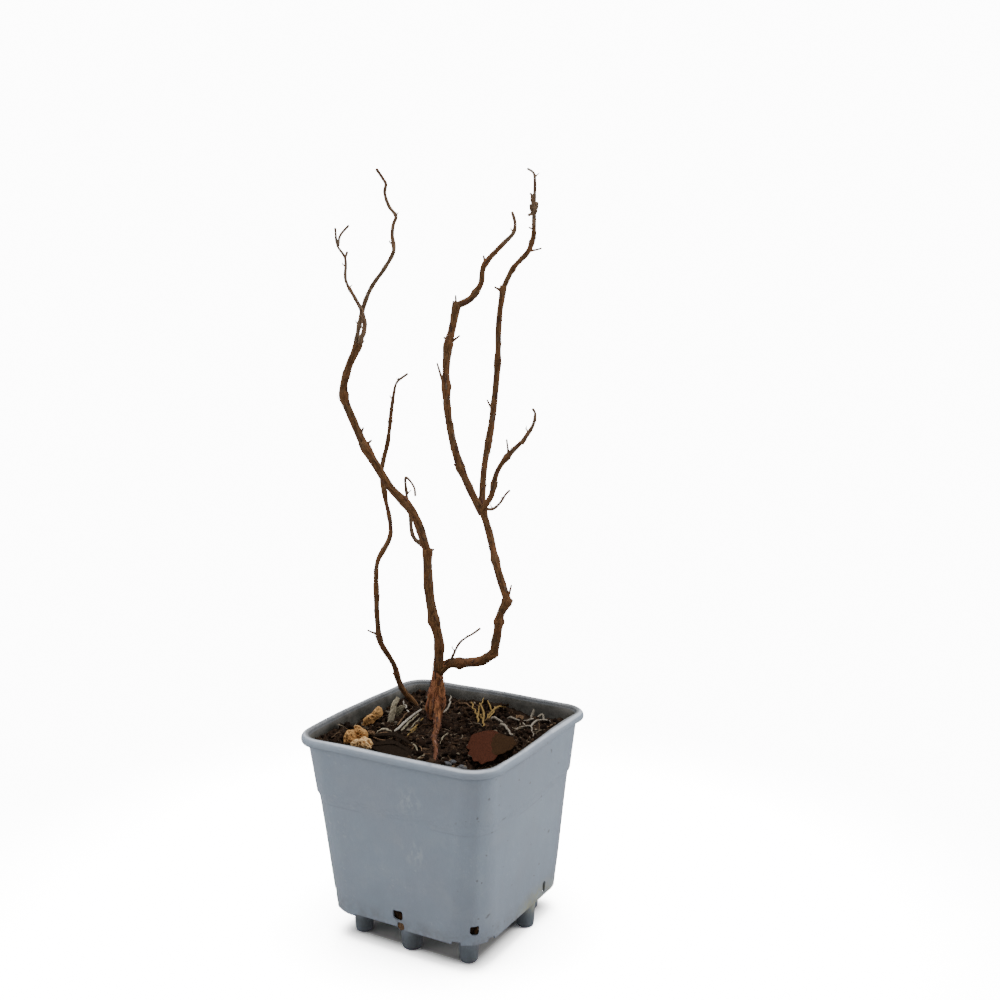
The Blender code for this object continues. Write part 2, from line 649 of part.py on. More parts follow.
    make_twigs(
        "twigs_left_top",
        [(-54.0, 415.5, 8.2), (-50.2, 426.4, 4.5), (-51.8, 436.4, 1.5), (-56.5, 445.8, 2), (-61.8, 456.3, 2),
         (-61.8, 471.3, 0), (-66.3, 479.2, -2), (-67.4, 490.9, -4)],
        (1.5, 0.5), pale, [left_upper], seed=1,
        forks=[([(-66.0, 478.6, -1.8), (-64.3, 485.4, -4), (-58.0, 492.3, -6)], (0.8, 0.45)),
               ([(-61.9, 471.0, 0), (-59.8, 475.5, -2.5)], (0.9, 0.4))])
    make_twigs(
        "twigs_left_high",
        [(-56.8, 415.5, 9.8), (-54.1, 428.9, 11.5), (-51.5, 438.3, 10), (-43.3, 454.1, 4), (-30.1, 474.5, 2),
         (-29.7, 494.5, 6), (-34.8, 511.0, 10), (-35.4, 521.1, 8), (-40.3, 529.0, 5)],
        (1.6, 0.8), pale, [left_upper, bpy.data.objects["twigs_left_top"]], seed=2, bud_spacing=20 * MM)
    make_twigs(
        "twigs_right_top_left",
        [(43.2, 479.6, 17), (50.4, 487.1, 16), (51.5, 493.1, 15), (49.4, 501.0, 13)],
        (1.4, 0.8), pale, [bough_left_top], seed=3, bud_spacing=14 * MM)
    make_twigs(
        "twigs_right_top",
        [(64.8, 494.6, 27), (65.0, 503.5, 26.4), (65.0, 508.5, 26), (65.3, 520.1, 24), (64.4, 526.5, 23),
         (59.9, 529.5, 21)],
        (1.4, 0.6), pale, [bough_middle_top], seed=4,
        forks=[([(64.6, 500.0, 26.6), (65.1, 505.0, 26.2), (64.9, 510.5, 25.8)], (2.2, 1.9)),
               ([(64.6, 500.5, 26.4), (60.8, 498.6, 24)], (0.8, 0.4)),
               ([(64.8, 511.0, 25.6), (61.8, 513.5, 24)], (0.9, 0.4))], bud_spacing=12 * MM)
    make_twigs(
        "twigs_right_side",
        [(55.8, 348.8, -3.8), (62.2, 359.8, -8), (63.4, 367.8, -11), (61.6, 371.5, -13)],
        (1.4, 0.6), pale, [bough_right], seed=5, bud_spacing=9 * MM)
    make_twigs(
        "twigs_left_node",
        [(-13.0, 267.0, 35), (-21.9, 274.5, 40), (-24.3, 290.1, 43), (-26.7, 308.5, 42), (-26.6, 318.0, 40),
         (-20.7, 311.6, 36), (-19.7, 305.0, 34)],
        (1.5, 0.45), pale, [left_lower, left_middle], seed=6, bud_spacing=18 * MM)
    make_twigs(
        "twigs_thin_stem",
        [(-35.1, 367.2, 28.2), (-33.0, 379.0, 25), (-30.5, 387.0, 22), (-22.4, 393.6, 16)],
        (1.2, 0.45), pale, [thin_upper], seed=7, bud_spacing=12 * MM)
    make_twigs(
        "twigs_low",
        [(3.0, 183.0, 30.5), (10.1, 198.5, 26), (14.2, 203.4, 22), (20.1, 208.0, 18), (25.6, 213.4, 13)],
        (0.9, 0.45), pale, [right_base], seed=8, bud_spacing=15 * MM)
    make_twigs(
        "twigs_right_node",
        [(29.6, 297.4, 23), (35.0, 298.2, 18), (40.0, 303.4, 12), (44.1, 310.7, 6), (46.8, 313.9, 3)],
        (1.0, 0.45), pale, [right_upper, bough_right], seed=9, bud_spacing=15 * MM)
    return [trunk, thin_lower]


def main():
    make_pot()
    rooted = make_plant()
    calm_spots = [(place(*TRUNK_FOOT), FLARE_CALM), (place(*THIN_FOOT), THIN_STEM_CALM)]
    for share in np.linspace(0.0, 1.0, ROOT_CALM_SPOTS):
        calm_spots.append((place(*TRUNK_FOOT).lerp(place(*ROOT_END), share), ROOT_CALM))
    make_soil(calm_spots, rooted)


main()
bpy.data.collections.remove(CUTTERS)
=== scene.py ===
"""The looks of a bare raspberry cane in a square nursery pot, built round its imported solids.

The file is laid out as an add-on. Property groups hold the sizes and colours that a user would
change, each operator builds one piece or group of like pieces, and a panel lists them all.

A place on the plant is named by three sizes in millimetres: across the plane in which the canes
spread, height above the ground, and depth behind the pot's centre. Every mesh is in metres in
the pot's own frame, whose X and Y run along the pot's sides.
"""
import math

import bpy
import numpy as np
from bpy.props import FloatProperty, FloatVectorProperty, IntProperty, PointerProperty
from mathutils import Matrix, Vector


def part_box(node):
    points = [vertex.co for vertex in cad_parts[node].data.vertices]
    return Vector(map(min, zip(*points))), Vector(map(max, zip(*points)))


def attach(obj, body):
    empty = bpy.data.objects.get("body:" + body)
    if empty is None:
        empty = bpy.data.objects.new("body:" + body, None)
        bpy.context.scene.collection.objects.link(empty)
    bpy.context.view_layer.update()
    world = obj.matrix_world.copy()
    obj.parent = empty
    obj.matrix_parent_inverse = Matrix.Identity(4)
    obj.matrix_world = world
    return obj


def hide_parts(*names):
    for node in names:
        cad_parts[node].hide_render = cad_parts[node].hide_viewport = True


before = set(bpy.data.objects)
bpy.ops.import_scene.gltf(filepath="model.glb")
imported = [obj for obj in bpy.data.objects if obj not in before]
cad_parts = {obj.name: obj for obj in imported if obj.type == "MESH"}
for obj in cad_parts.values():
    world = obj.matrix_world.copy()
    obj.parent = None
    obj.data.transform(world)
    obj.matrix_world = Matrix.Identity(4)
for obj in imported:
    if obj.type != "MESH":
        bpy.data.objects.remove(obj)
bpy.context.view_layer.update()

bl_info = {
    "name": "Potted raspberry cane",
    "version": (1, 0, 0),
    "blender": (4, 5, 0),
    "location": "View3D > Sidebar > Raspberry cane",
    "description": "Builds a bare, twining raspberry cane in a square plastic nursery pot",
    "category": "Add Mesh",
}

MM = 0.001

# The pot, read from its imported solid, with the sizes that lie within it
POT_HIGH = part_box("pot")[1]
RIM_HALF = POT_HIGH.x
POT_HEIGHT = POT_HIGH.z
WALL_TOP_HALF = RIM_HALF - 4.5 * MM
BASE_HALF = 63.3 * MM
FOOT_HEIGHT = 20 * MM
RIM_BAND = 6 * MM
BASE_CORNER = 24 * MM
TOP_CORNER = 16.7 * MM
WALL = 1.5 * MM
STEP_HEIGHT = POT_HEIGHT - 42 * MM
STEP_IN = 1 * MM
MOULD_LINE = POT_HEIGHT - 48.5 * MM
SCUFFS = (                      # where the front wall is scuffed, and how far each scuff reaches
    ((16 * MM, -71 * MM, 119 * MM), (15 * MM, 9 * MM, 14 * MM)),
    ((17 * MM, -68 * MM, 81 * MM), (15 * MM, 9 * MM, 13 * MM)),
)
FLOOR_TOP = 24.8 * MM

# The compost, and the spots where it lies level round what stands in it
SOIL_LEVEL = 139 * MM
SOIL_RELIEF = 4.8 * MM
SOIL_WAVES = (
    (61, 23, 0.4), (-37, 74, 1.9), (96, 58, 3.1), (-88, 41, 4.4), (29, -112, 5.2),
)
FLARE_CALM = 16 * MM
THIN_STEM_CALM = 6 * MM
ROOT_CALM = 5 * MM

# The plant
PLANT_TURN = math.radians(30.69)
TRUNK_FOOT = (-7.7, 139.0, 34.0)
FORK = (-5.3, 179.0, 30.0)
THIN_FOOT = (-24.0, 139.0, 65.5)
ROOT_END = (-6.6, 139.0, -50.0)
BUD_SEED = 7


def smoothstep(values, low, high):
    """The cubic t * t * (3 - 2 t) of how far each value lies from low to high."""
    t = np.clip((values - low) / (high - low), 0.0, 1.0)
    return t * t * (3.0 - 2.0 * t)


def ripple(points, size, seed, count=16):
    """A smooth random field of about unit height: the sum of sines of p . d_k + f_k over plane
    waves with seeded directions d_k, wavelengths near size and phases f_k, brought to unit
    spread."""
    rule = np.random.default_rng(seed)
    aims = rule.normal(size=(3, count))
    aims *= 2 * np.pi / (np.linalg.norm(aims, axis=0) * size * rule.uniform(0.7, 1.6, count))
    return np.sin(points @ aims + rule.uniform(0, 2 * np.pi, count)).sum(-1) * math.sqrt(2 / count)


def place(spots):
    """Turn rows of across, height and depth in millimetres into points in the pot's frame."""
    spots = np.asarray(spots, float)
    cos, sin = math.cos(PLANT_TURN), math.sin(PLANT_TURN)
    across, height, depth = spots[..., 0], spots[..., 1], spots[..., 2]
    return np.stack([across * cos - depth * sin, across * sin + depth * cos, height], -1) * MM


def smooth_path(points, spacing):
    """Points about spacing apart on a centripetal Catmull-Rom curve: between two knots each point
    is the nested blend of three lines, two parabolas and one cubic over square-root knot times."""
    points = np.asarray(points, float)
    if len(points) == 2:
        points = np.array([points[0], (points[0] + points[1]) / 2, points[1]])
    ends = np.vstack([2 * points[0] - points[1], points, 2 * points[-1] - points[-2]])
    path = []
    for p0, p1, p2, p3 in zip(ends, ends[1:], ends[2:], ends[3:]):
        t0 = 0.0
        t1 = t0 + math.sqrt(np.linalg.norm(p1 - p0))
        t2 = t1 + math.sqrt(np.linalg.norm(p2 - p1))
        t3 = t2 + math.sqrt(np.linalg.norm(p3 - p2))
        steps = max(1, round(np.linalg.norm(p2 - p1) / spacing))
        t = (t1 + (t2 - t1) * np.arange(steps) / steps)[:, None]
        a1 = p0 + (p1 - p0) * (t - t0) / (t1 - t0)
        a2 = p1 + (p2 - p1) * (t - t1) / (t2 - t1)
        a3 = p2 + (p3 - p2) * (t - t2) / (t3 - t2)
        b1 = a1 + (a2 - a1) * (t - t0) / (t2 - t0)
        b2 = a2 + (a3 - a2) * (t - t1) / (t3 - t1)
        path.append(b1 + (b2 - b1) * (t - t1) / (t2 - t1))
    return np.vstack(path + [points[-1:]])


def lengths_along(path):
    """The distance run at each point of a path."""
    steps = np.linalg.norm(np.diff(path, axis=0), axis=1)
    return np.concatenate([[0.0], np.cumsum(steps)])


def shares_along(path):
    """How far along the path each point lies, from 0 to 1."""
    run = lengths_along(path)
    return run / run[-1]


def frames_along(path):
    """Unit tangents, and two directions square to them that turn as little as they can: each
    ring's side direction is the last one's, less its part along the new tangent."""
    tangents = np.gradient(path, axis=0)
    tangents /= np.linalg.norm(tangents, axis=1)[:, None]
    start = np.cross(tangents[0], (0.31, -0.52, 0.79))
    sides = np.empty_like(path)
    sides[0] = start / np.linalg.norm(start)
    for i in range(1, len(path)):
        side = sides[i - 1] - tangents[i] * np.dot(sides[i - 1], tangents[i])
        sides[i] = side / np.linalg.norm(side)
    return tangents, sides, np.cross(tangents, sides)


def tapered(path, thick, thin, nodes=(), swelling=0.25):
    """Radii that fall evenly from thick to thin and swell a little at each node."""
    share = shares_along(path)
    radii = thick + (thin - thick) * share
    for node in nodes:
        radii = radii * (1 + swelling * np.exp(-((share - node) / 0.05) ** 2))
    return radii


def grid_faces(rows, columns):
    """Quads of a grid of rows that each close on themselves."""
    i = np.arange(rows - 1)[:, None] * columns
    j = np.arange(columns)[None, :]
    k = (j + 1) % columns
    return np.stack([i + j, i + k, i + columns + k, i + columns + j], -1).reshape(-1, 4)


def closed_rings(rings):
    """Close a stack of rings with a point at the middle of its first and last ring.
    Gives the points, the quads between rings and the triangles of both fans."""
    rows, columns = rings.shape[:2]
    points = np.vstack([rings.reshape(-1, 3), rings[0].mean(0), rings[-1].mean(0)])
    j = np.arange(columns)
    k = (j + 1) % columns
    first = np.stack([np.full(columns, rows * columns), k, j], -1)
    top = (rows - 1) * columns
    last = np.stack([np.full(columns, rows * columns + 1), top + j, top + k], -1)
    return points, grid_faces(rows, columns), np.vstack([first, last])


class Heap:
    """Closed shapes gathered into one mesh, with a tone for each shape and attributes by point."""

    def __init__(self):
        self.points, self.quads, self.triangles = [], [], []
        self.quad_tones, self.triangle_tones = [], []
        self.attributes = {}
        self.count = 0

    def add(self, points, quads, triangles, tone=0, **attributes):
        """Add one shape, or many of one make: then points is copies by points by 3, and tone
        holds one tone for each copy."""
        copies = len(points) if points.ndim == 3 else 1
        size = points.shape[-2]
        starts = (self.count + np.arange(copies) * size)[:, None, None]
        for faces, kept, tones in ((quads, self.quads, self.quad_tones),
                                   (triangles, self.triangles, self.triangle_tones)):
            kept.append((faces + starts).reshape(-1, faces.shape[1]))
            tones.append(np.repeat(np.broadcast_to(tone, copies), len(faces)))
        self.points.append(points.reshape(-1, 3))
        for label, values in attributes.items():
            self.attributes.setdefault(label, []).append(values)
        self.count += copies * size

    def move(self, rule):
        """Put every point where the rule says."""
        self.points = [rule(points) for points in self.points]

    def mesh(self, name):
        """Write the gathered shapes into a mesh, turned right way out by its signed volume."""
        points, quads = np.vstack(self.points), np.vstack(self.quads)
        triangles = np.vstack(self.triangles)
        if signed_volume(points, quads, triangles) < 0:
            quads, triangles = quads[:, ::-1], triangles[:, ::-1]
        mesh = bpy.data.meshes.new(name)
        mesh.from_pydata(points, [], quads.tolist() + triangles.tolist())
        tones = np.concatenate(self.quad_tones + self.triangle_tones)
        mesh.polygons.foreach_set("material_index", tones.astype(np.int32))
        for label, values in self.attributes.items():
            set_attribute(mesh, label, np.concatenate(values))
        mesh.update()
        return mesh


def signed_volume(points, quads, triangles):
    """A sixth of the sum of a . (b x c) over all triangles."""
    corners = np.vstack([quads[:, [0, 1, 2]], quads[:, [0, 2, 3]], triangles])
    a, b, c = (points[corners[:, i]] for i in range(3))
    return float(np.einsum("ij,ij->i", a, np.cross(b, c)).sum() / 6)


def set_attribute(mesh, label, values):
    """Store one number or one vector for each point of the mesh."""
    kind, field = ("FLOAT_VECTOR", "vector") if values.ndim == 2 else ("FLOAT", "value")
    attribute = mesh.attributes.new(label, kind, "POINT")
    attribute.data.foreach_set(field, values.astype(np.float32).ravel())


def linked(name, data):
    """A new object for a mesh, a light or a camera, linked to the scene."""
    item = bpy.data.objects.new(name, data)
    bpy.context.scene.collection.objects.link(item)
    return item


def new_piece(name, mesh, finishes, replaced=(), smooth_angle=None):
    """Link a finished mesh as a piece that rides on the one body."""
    piece = linked(name, mesh)
    for finish in finishes:
        mesh.materials.append(finish)
    mesh.shade_smooth()
    if smooth_angle is not None:
        mesh.set_sharp_from_angle(angle=math.radians(smooth_angle))
    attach(piece, "root")
    if replaced:
        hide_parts(*replaced)
    return piece


def evaluated_mesh(name, worker):
    """The mesh that a temporary object's modifiers make. The object is removed."""
    graph = bpy.context.evaluated_depsgraph_get()
    graph.update()
    mesh = bpy.data.meshes.new_from_object(worker.evaluated_get(graph))
    mesh.name = name
    mesh.materials.clear()
    drop(worker)
    return mesh


def drop(worker):
    """Remove a temporary object and its mesh."""
    mesh = worker.data
    bpy.data.objects.remove(worker, do_unlink=True)
    bpy.data.meshes.remove(mesh)


class Web:
    """Adds nodes to a shader tree and links them. A value is a number, a colour or a socket."""

    def __init__(self, tree):
        self.tree = tree

    def feed(self, socket, value):
        if isinstance(value, bpy.types.NodeSocket):
            self.tree.links.new(value, socket)
        else:
            socket.default_value = value

    def node(self, kind, inputs=(), **settings):
        node = self.tree.nodes.new("ShaderNode" + kind)
        for name, value in settings.items():
            setattr(node, name, value)
        for name, value in dict(inputs).items():
            self.feed(node.inputs[name], value)
        return node

    def maths(self, operation, a, b=0.0):
        return self.node("Math", {0: a, 1: b}, operation=operation).outputs[0]

    def plus(self, a, b):
        return self.maths("ADD", a, b)

    def minus(self, a, b):
        return self.maths("SUBTRACT", a, b)

    def times(self, a, b):
        return self.maths("MULTIPLY", a, b)

    def total(self, start, *terms):
        """A start and the sum of each value times its weight."""
        for value, weight in terms:
            start = self.plus(start, self.times(value, weight))
        return start

    def vector(self, operation, a, b=(0.0, 0.0, 0.0), output="Vector"):
        return self.node("VectorMath", {0: a, 1: b}, operation=operation).outputs[output]

    def parts(self, vector):
        return self.node("SeparateXYZ", {0: vector}).outputs

    def joined(self, x, y, z):
        return self.node("CombineXYZ", {0: x, 1: y, 2: z}).outputs[0]

    def noise(self, vector, scale, detail=3.0, roughness=0.55):
        inputs = {"Vector": vector, "Scale": scale, "Detail": detail, "Roughness": roughness}
        return self.node("TexNoise", inputs).outputs[0]

    def drawn_noise(self, vector, scales, detail, roughness=0.55):
        """A noise with its own scale along each axis."""
        return self.noise(self.vector("MULTIPLY", vector, scales), 1.0, detail, roughness)

    def step(self, value, low, high, start=0.0, end=1.0):
        """Map low to high smoothly onto start to end."""
        inputs = {"Value": value, "From Min": low, "From Max": high, "To Min": start, "To Max": end}
        return self.node("MapRange", inputs, interpolation_type="SMOOTHSTEP").outputs[0]

    def mix(self, share, a, b):
        return self.node("Mix", {0: share, 6: a, 7: b}, data_type="RGBA").outputs[2]

    def tint(self, base, mask, strength, colour):
        """Lay a colour over the base as strongly as the mask times the strength."""
        return self.mix(self.times(mask, strength), base, (*colour, 1.0))

    def bump(self, height, strength, distance):
        inputs = {"Height": height, "Strength": strength, "Distance": distance}
        return self.node("Bump", inputs).outputs[0]

    def place(self):
        return self.node("TexCoord").outputs["Object"]

    def attribute(self, label, output="Fac"):
        return self.node("Attribute", attribute_name=label).outputs[output]

    def near(self, vector, centre, radii):
        """A mask that is 1 at a centre and falls to 0 on an ellipsoid round it."""
        offset = self.vector("SUBTRACT", vector, centre)
        scaled = self.vector("MULTIPLY", offset, tuple(1.0 / radius for radius in radii))
        return self.step(self.vector("LENGTH", scaled, output="Value"), 1.0, 0.0)

    def group(self, name, *values):
        """A shader group, with its values in the order of its inputs."""
        node = self.node("Group", node_tree=bpy.data.node_groups[name])
        for socket, value in zip(node.inputs, values):
            self.feed(socket, value)
        return node.outputs

    def patches(self, vector, scale, coverage, softness):
        return self.group("patches", vector, scale, coverage, softness)["Mask"]


def shader_group(name, inputs, outputs):
    """A node group with named sockets. Gives its web, its inputs and its output node's sockets."""
    tree = bpy.data.node_groups.new(name, "ShaderNodeTree")
    for label, kind, value in inputs:
        socket = tree.interface.new_socket(label, in_out="INPUT", socket_type="NodeSocket" + kind)
        if value is not None:
            socket.default_value = value
    for label, kind in outputs:
        tree.interface.new_socket(label, in_out="OUTPUT", socket_type="NodeSocket" + kind)
    given, result = (tree.nodes.new("NodeGroup" + end) for end in ("Input", "Output"))
    return Web(tree), given.outputs, result.inputs


def build_patches_group():
    """Patches of dirt, bloom or wet: a broad noise, broken up by a fine one, cut at a coverage."""
    web, given, result = shader_group(
        "patches",
        [("Vector", "Vector", None), ("Scale", "Float", 30.0), ("Coverage", "Float", 0.4),
         ("Softness", "Float", 0.12)],
        [("Mask", "Float")])
    broad = web.noise(given["Vector"], given["Scale"], 2.0)
    fine = web.noise(given["Vector"], web.times(given["Scale"], 7.0), 4.0, 0.65)
    edge = web.total(0.72, (given["Coverage"], -0.44))
    web.feed(result["Mask"], web.step(web.total(0.0, (broad, 0.68), (fine, 0.32)),
                                      web.minus(edge, given["Softness"]),
                                      web.plus(edge, given["Softness"])))


def build_fibres_group():
    """Fibres that run along a limb: a noise on the grain attribute, whose third part runs along."""
    web, given, result = shader_group(
        "fibres",
        [("Grain", "Vector", None), ("Scale", "Float", 900.0), ("Run", "Float", 0.08)],
        [("Height", "Float"), ("Mask", "Float")])
    parts = web.parts(given["Grain"])
    drawn_out = web.joined(parts[0], parts[1], web.times(parts[2], given["Run"]))
    strands = web.noise(drawn_out, given["Scale"], 4.0, 0.6)
    web.feed(result["Height"], strands)
    web.feed(result["Mask"], web.step(strands, 0.42, 0.60))


def build_speckle_group():
    """Fine grain for bump and tone: two scales of noise, centred on a half."""
    web, given, result = shader_group(
        "speckle",
        [("Vector", "Vector", None), ("Scale", "Float", 600.0)],
        [("Height", "Float"), ("Tone", "Float")])
    fine = web.noise(given["Vector"], given["Scale"], 5.0, 0.7)
    coarse = web.noise(given["Vector"], web.times(given["Scale"], 0.21), 3.0, 0.5)
    web.feed(result["Height"], web.total(0.0, (fine, 0.6), (coarse, 0.4)))
    web.feed(result["Tone"], web.step(fine, 0.38, 0.62))


def new_finish(name, specular):
    """An opaque material. Gives it with its web and its shader's inputs."""
    finish = bpy.data.materials.new(name)
    finish.use_nodes = True
    shader = finish.node_tree.nodes["Principled BSDF"]
    shader.inputs["Specular IOR Level"].default_value = specular
    return finish, Web(finish.node_tree), shader.inputs


def shade(colour, factor):
    """A colour made darker or lighter."""
    return (colour[0] * factor, colour[1] * factor, colour[2] * factor, 1.0)


# What marks the pot's plastic, in the order in which it is laid over it: a strength, or None
# where the pot's settings give it, and a colour. Most are wear, dirt and stains; some are painted
# light: a highlight on the rim's crest, a shadow under the rim and shade near the ground
MARKS_AND_PAINTED_LIGHT = {
    "warm": (0.22, (0.262, 0.258, 0.300)),
    "dust": (None, (0.46, 0.48, 0.50)),
    "scratches": (0.18, (0.50, 0.53, 0.56)),
    "spots": (0.50, (0.095, 0.090, 0.085)),
    # the rim's worn crest, lightened further as a painted highlight
    "worn_rim": (0.80, (0.60, 0.64, 0.70)),
    # a painted shadow in the band under the rim
    "under_rim": (0.45, (0.10, 0.115, 0.14)),
    "low_shade": (0.10, (0.10, 0.12, 0.15)),
    "mould_line": (0.22, (0.13, 0.15, 0.18)),
    "high_scuff": (0.34, (0.50, 0.54, 0.58)),
    "low_scuff": (0.34, (0.50, 0.54, 0.58)),
    "dirt": (None, (0.105, 0.085, 0.062)),
    # painted shade on the feet and the skirt, darkest near the ground
    "ground_dirt": (0.70, (0.070, 0.080, 0.088)),
    "stain": (None, (0.36, 0.34, 0.13)),
}
# tones of the plastic darkened by soil and painted shade, inside and under the pot
SOILED_AND_SHADED = ((0.052, 0.050, 0.042, 1), (0.110, 0.104, 0.092, 1))
STAIN_SPOT = ((BASE_HALF + 2 * MM, 18 * MM, 21 * MM), (16 * MM, 42 * MM, 17 * MM))
SCRATCH_TURN = (0.5, 0.9, 0.3)


def plastic_finish(settings):
    """Weathered blue-grey plastic: moulding flow, scuffs, dust, dirt by the holes and a mossy
    stain, with a painted highlight along the rim's crest, a painted shadow under the rim and
    painted shade near the ground. The inside attribute is 1 where soil and painted shade darken the
    plastic."""
    finish, web, shader = new_finish("slate_plastic", specular=0.45)
    here = web.place()
    side, _, height = web.parts(here)
    colour = tuple(settings.colour)
    flow = web.step(web.drawn_noise(here, (95.0, 95.0, 9.0), 3.0), 0.30, 0.70)
    cloud = web.noise(here, 26.0, 3.0, 0.6)
    base = web.mix(web.step(cloud, 0.35, 0.65), shade(colour, 0.965), shade(colour, 1.035))
    base = web.mix(flow, web.mix(0.5, base, shade(colour, 0.94)), base)
    turned_place = web.node("Mapping", {"Vector": here, "Rotation": SCRATCH_TURN}).outputs[0]
    scratch = web.drawn_noise(turned_place, (700.0, 700.0, 26.0), 1.0)
    smears = web.step(web.drawn_noise(here, (300.0, 300.0, 170.0), 3.0, 0.6), 0.46, 0.62)
    speckled = web.step(web.noise(here, 260.0, 4.0, 0.7), 0.40, 0.62)
    off_line = web.maths("ABSOLUTE", web.minus(height, MOULD_LINE))
    masks = {
        "warm": web.patches(here, 17.0, 0.45, 0.16),
        "dust": web.patches(here, 60.0, 0.36, 0.10),
        "scratches": web.times(web.step(scratch, 0.66, 0.72), web.step(cloud, 0.48, 0.60)),
        "spots": web.times(web.step(web.noise(here, 190.0, 1.0), 0.715, 0.755),
                           web.step(side, 40 * MM, 62 * MM)),
        # the rim's worn crest, lightened further as a painted highlight
        "worn_rim": web.times(web.step(height, POT_HEIGHT - 1.5 * MM, POT_HEIGHT - 0.5 * MM),
                              web.step(web.noise(here, 90.0, 4.0), 0.20, 0.55)),
        # a painted shadow in the band under the rim
        "under_rim": web.times(web.step(height, POT_HEIGHT - 9 * MM, POT_HEIGHT - 6.4 * MM),
                               web.step(height, POT_HEIGHT - 4.6 * MM, POT_HEIGHT - 5.8 * MM)),
        "low_shade": web.step(height, 80 * MM, 24 * MM),
        "mould_line": web.times(web.step(off_line, 0.9 * MM, 0.1 * MM),
                                web.step(cloud, 0.44, 0.56)),
        "high_scuff": web.times(web.near(here, *SCUFFS[0]), smears),
        "low_scuff": web.times(web.near(here, *SCUFFS[1]), smears),
        "dirt": web.times(web.step(height, 38 * MM, 18 * MM), web.patches(here, 75.0, 0.40, 0.14)),
        # painted shade on the feet and the skirt, darkest near the ground
        "ground_dirt": web.step(height, 22 * MM, 8 * MM),
        "stain": web.times(web.near(here, *STAIN_SPOT), web.total(0.4, (speckled, 0.6))),
    }
    for label, (strength, tint) in MARKS_AND_PAINTED_LIGHT.items():
        strength = getattr(settings, label) if strength is None else strength
        base = web.tint(base, masks[label], strength, tint)
    # Inside and under the pot the plastic darkens, by soil and by painted shade
    soil_and_shade = web.mix(web.step(web.noise(here, 90.0, 4.0, 0.65), 0.35, 0.65), *SOILED_AND_SHADED)
    web.feed(shader["Base Color"], web.mix(web.attribute("inside"), base, soil_and_shade))
    web.feed(shader["Roughness"], web.total(settings.roughness, (web.minus(cloud, 0.5), 0.25),
                                            (masks["dust"], 0.15), (masks["scratches"], -0.10)))
    grain = web.group("speckle", here, 1500.0)["Height"]
    dents = web.noise(here, 75.0, 2.0)
    relief = web.total(0.0, (grain, 0.10), (dents, 0.75), (masks["scratches"], -0.20))
    web.feed(shader["Normal"], web.bump(relief, 0.32, 1.0 * MM))
    return finish


THREAD_BROWN = (0.075, 0.046, 0.026)
SPECK_PALE = (0.17, 0.15, 0.12)


def compost_finish(settings):
    """Moist, crumbly compost: near-black earth with brown fibres, pale specks and damp patches."""
    finish, web, shader = new_finish("compost", specular=0.06)
    here = web.place()
    earth = web.noise(here, 330.0, 6.0, 0.68)
    dark, brown = shade(settings.colour, 0.45), shade(settings.colour, 1.9)
    base = web.mix(web.step(earth, 0.35, 0.68), dark, brown)
    threads = web.step(web.drawn_noise(here, (900.0, 260.0, 600.0), 2.0), 0.60, 0.70)
    base = web.tint(base, threads, 0.6, THREAD_BROWN)
    base = web.tint(base, web.step(web.noise(here, 1100.0, 1.0), 0.70, 0.76), 0.55, SPECK_PALE)
    web.feed(shader["Base Color"], base)
    web.feed(shader["Roughness"], web.total(0.95, (web.patches(here, 45.0, 0.45, 0.15), -0.35)))
    web.feed(shader["Normal"], web.bump(earth, 0.9, 1.2 * MM))
    return finish


BLOOM = (0.120, 0.095, 0.058)
PALE_TIP = ((0.150, 0.105, 0.075, 1), (0.34, 0.275, 0.220, 1))


def bark_finish(name, dark, light, blush, blush_cover, bloom_cover, fibre_scale):
    """Dry bark: fibres along the limb, painted shade in the furrows, warm patches and a
    grey-olive bloom.

    The grain attribute is a place round and along the limb, the darkening one is 1 where shade is
    painted deepest in a furrow, and high on the trunk's long root, which is made darker, and tip is
    1 where a twig thins out to its pale end."""
    finish, web, shader = new_finish(name, specular=0.18)
    here = web.place()
    fibres = web.group("fibres", web.attribute("grain", "Vector"), fibre_scale, 0.10)
    base = web.mix(fibres["Mask"], shade(dark, 1.0), shade(light, 1.0))
    base = web.tint(base, web.patches(here, 85.0, blush_cover, 0.14), 0.65, tuple(blush))
    base = web.tint(base, web.patches(here, 130.0, bloom_cover, 0.10), 0.30, BLOOM)
    # painted shade in the furrows and cracks; the trunk's long root is made darker by it too
    base = web.tint(base, web.attribute("hollow"), 0.75, shade(dark, 0.35)[:3])
    base = web.mix(web.attribute("tip"), base, web.mix(fibres["Mask"], *PALE_TIP))
    web.feed(shader["Base Color"], base)
    web.feed(shader["Roughness"], web.total(0.92, (fibres["Height"], -0.28)))
    fine = web.group("speckle", here, 2600.0)["Height"]
    web.feed(shader["Normal"], web.bump(web.total(fibres["Height"], (fine, 0.35)), 0.75, 0.45 * MM))
    return finish


def plain_finish(name, colour, roughness=0.8, scale=900.0, spread=0.30, bump=0.5, specular=0.3):
    """A base colour for one tone of a joined piece, with fine grain in its tone and relief."""
    finish, web, shader = new_finish(name, specular=specular)
    grain = web.group("speckle", web.place(), scale)
    base = web.mix(grain["Tone"], shade(colour, 1.0 - spread), shade(colour, 1.0 + spread))
    web.feed(shader["Base Color"], base)
    web.feed(shader["Roughness"], web.total(roughness - 0.06, (grain["Height"], 0.12)))
    web.feed(shader["Normal"], web.bump(grain["Height"], bump, 0.4 * MM))
    return finish


def finish_set(name, colours, **looks):
    """One plain finish for each tone of a joined piece."""
    return [plain_finish(f"{name}_{number}", tone, **looks)
            for number, tone in enumerate(colours, 1)]


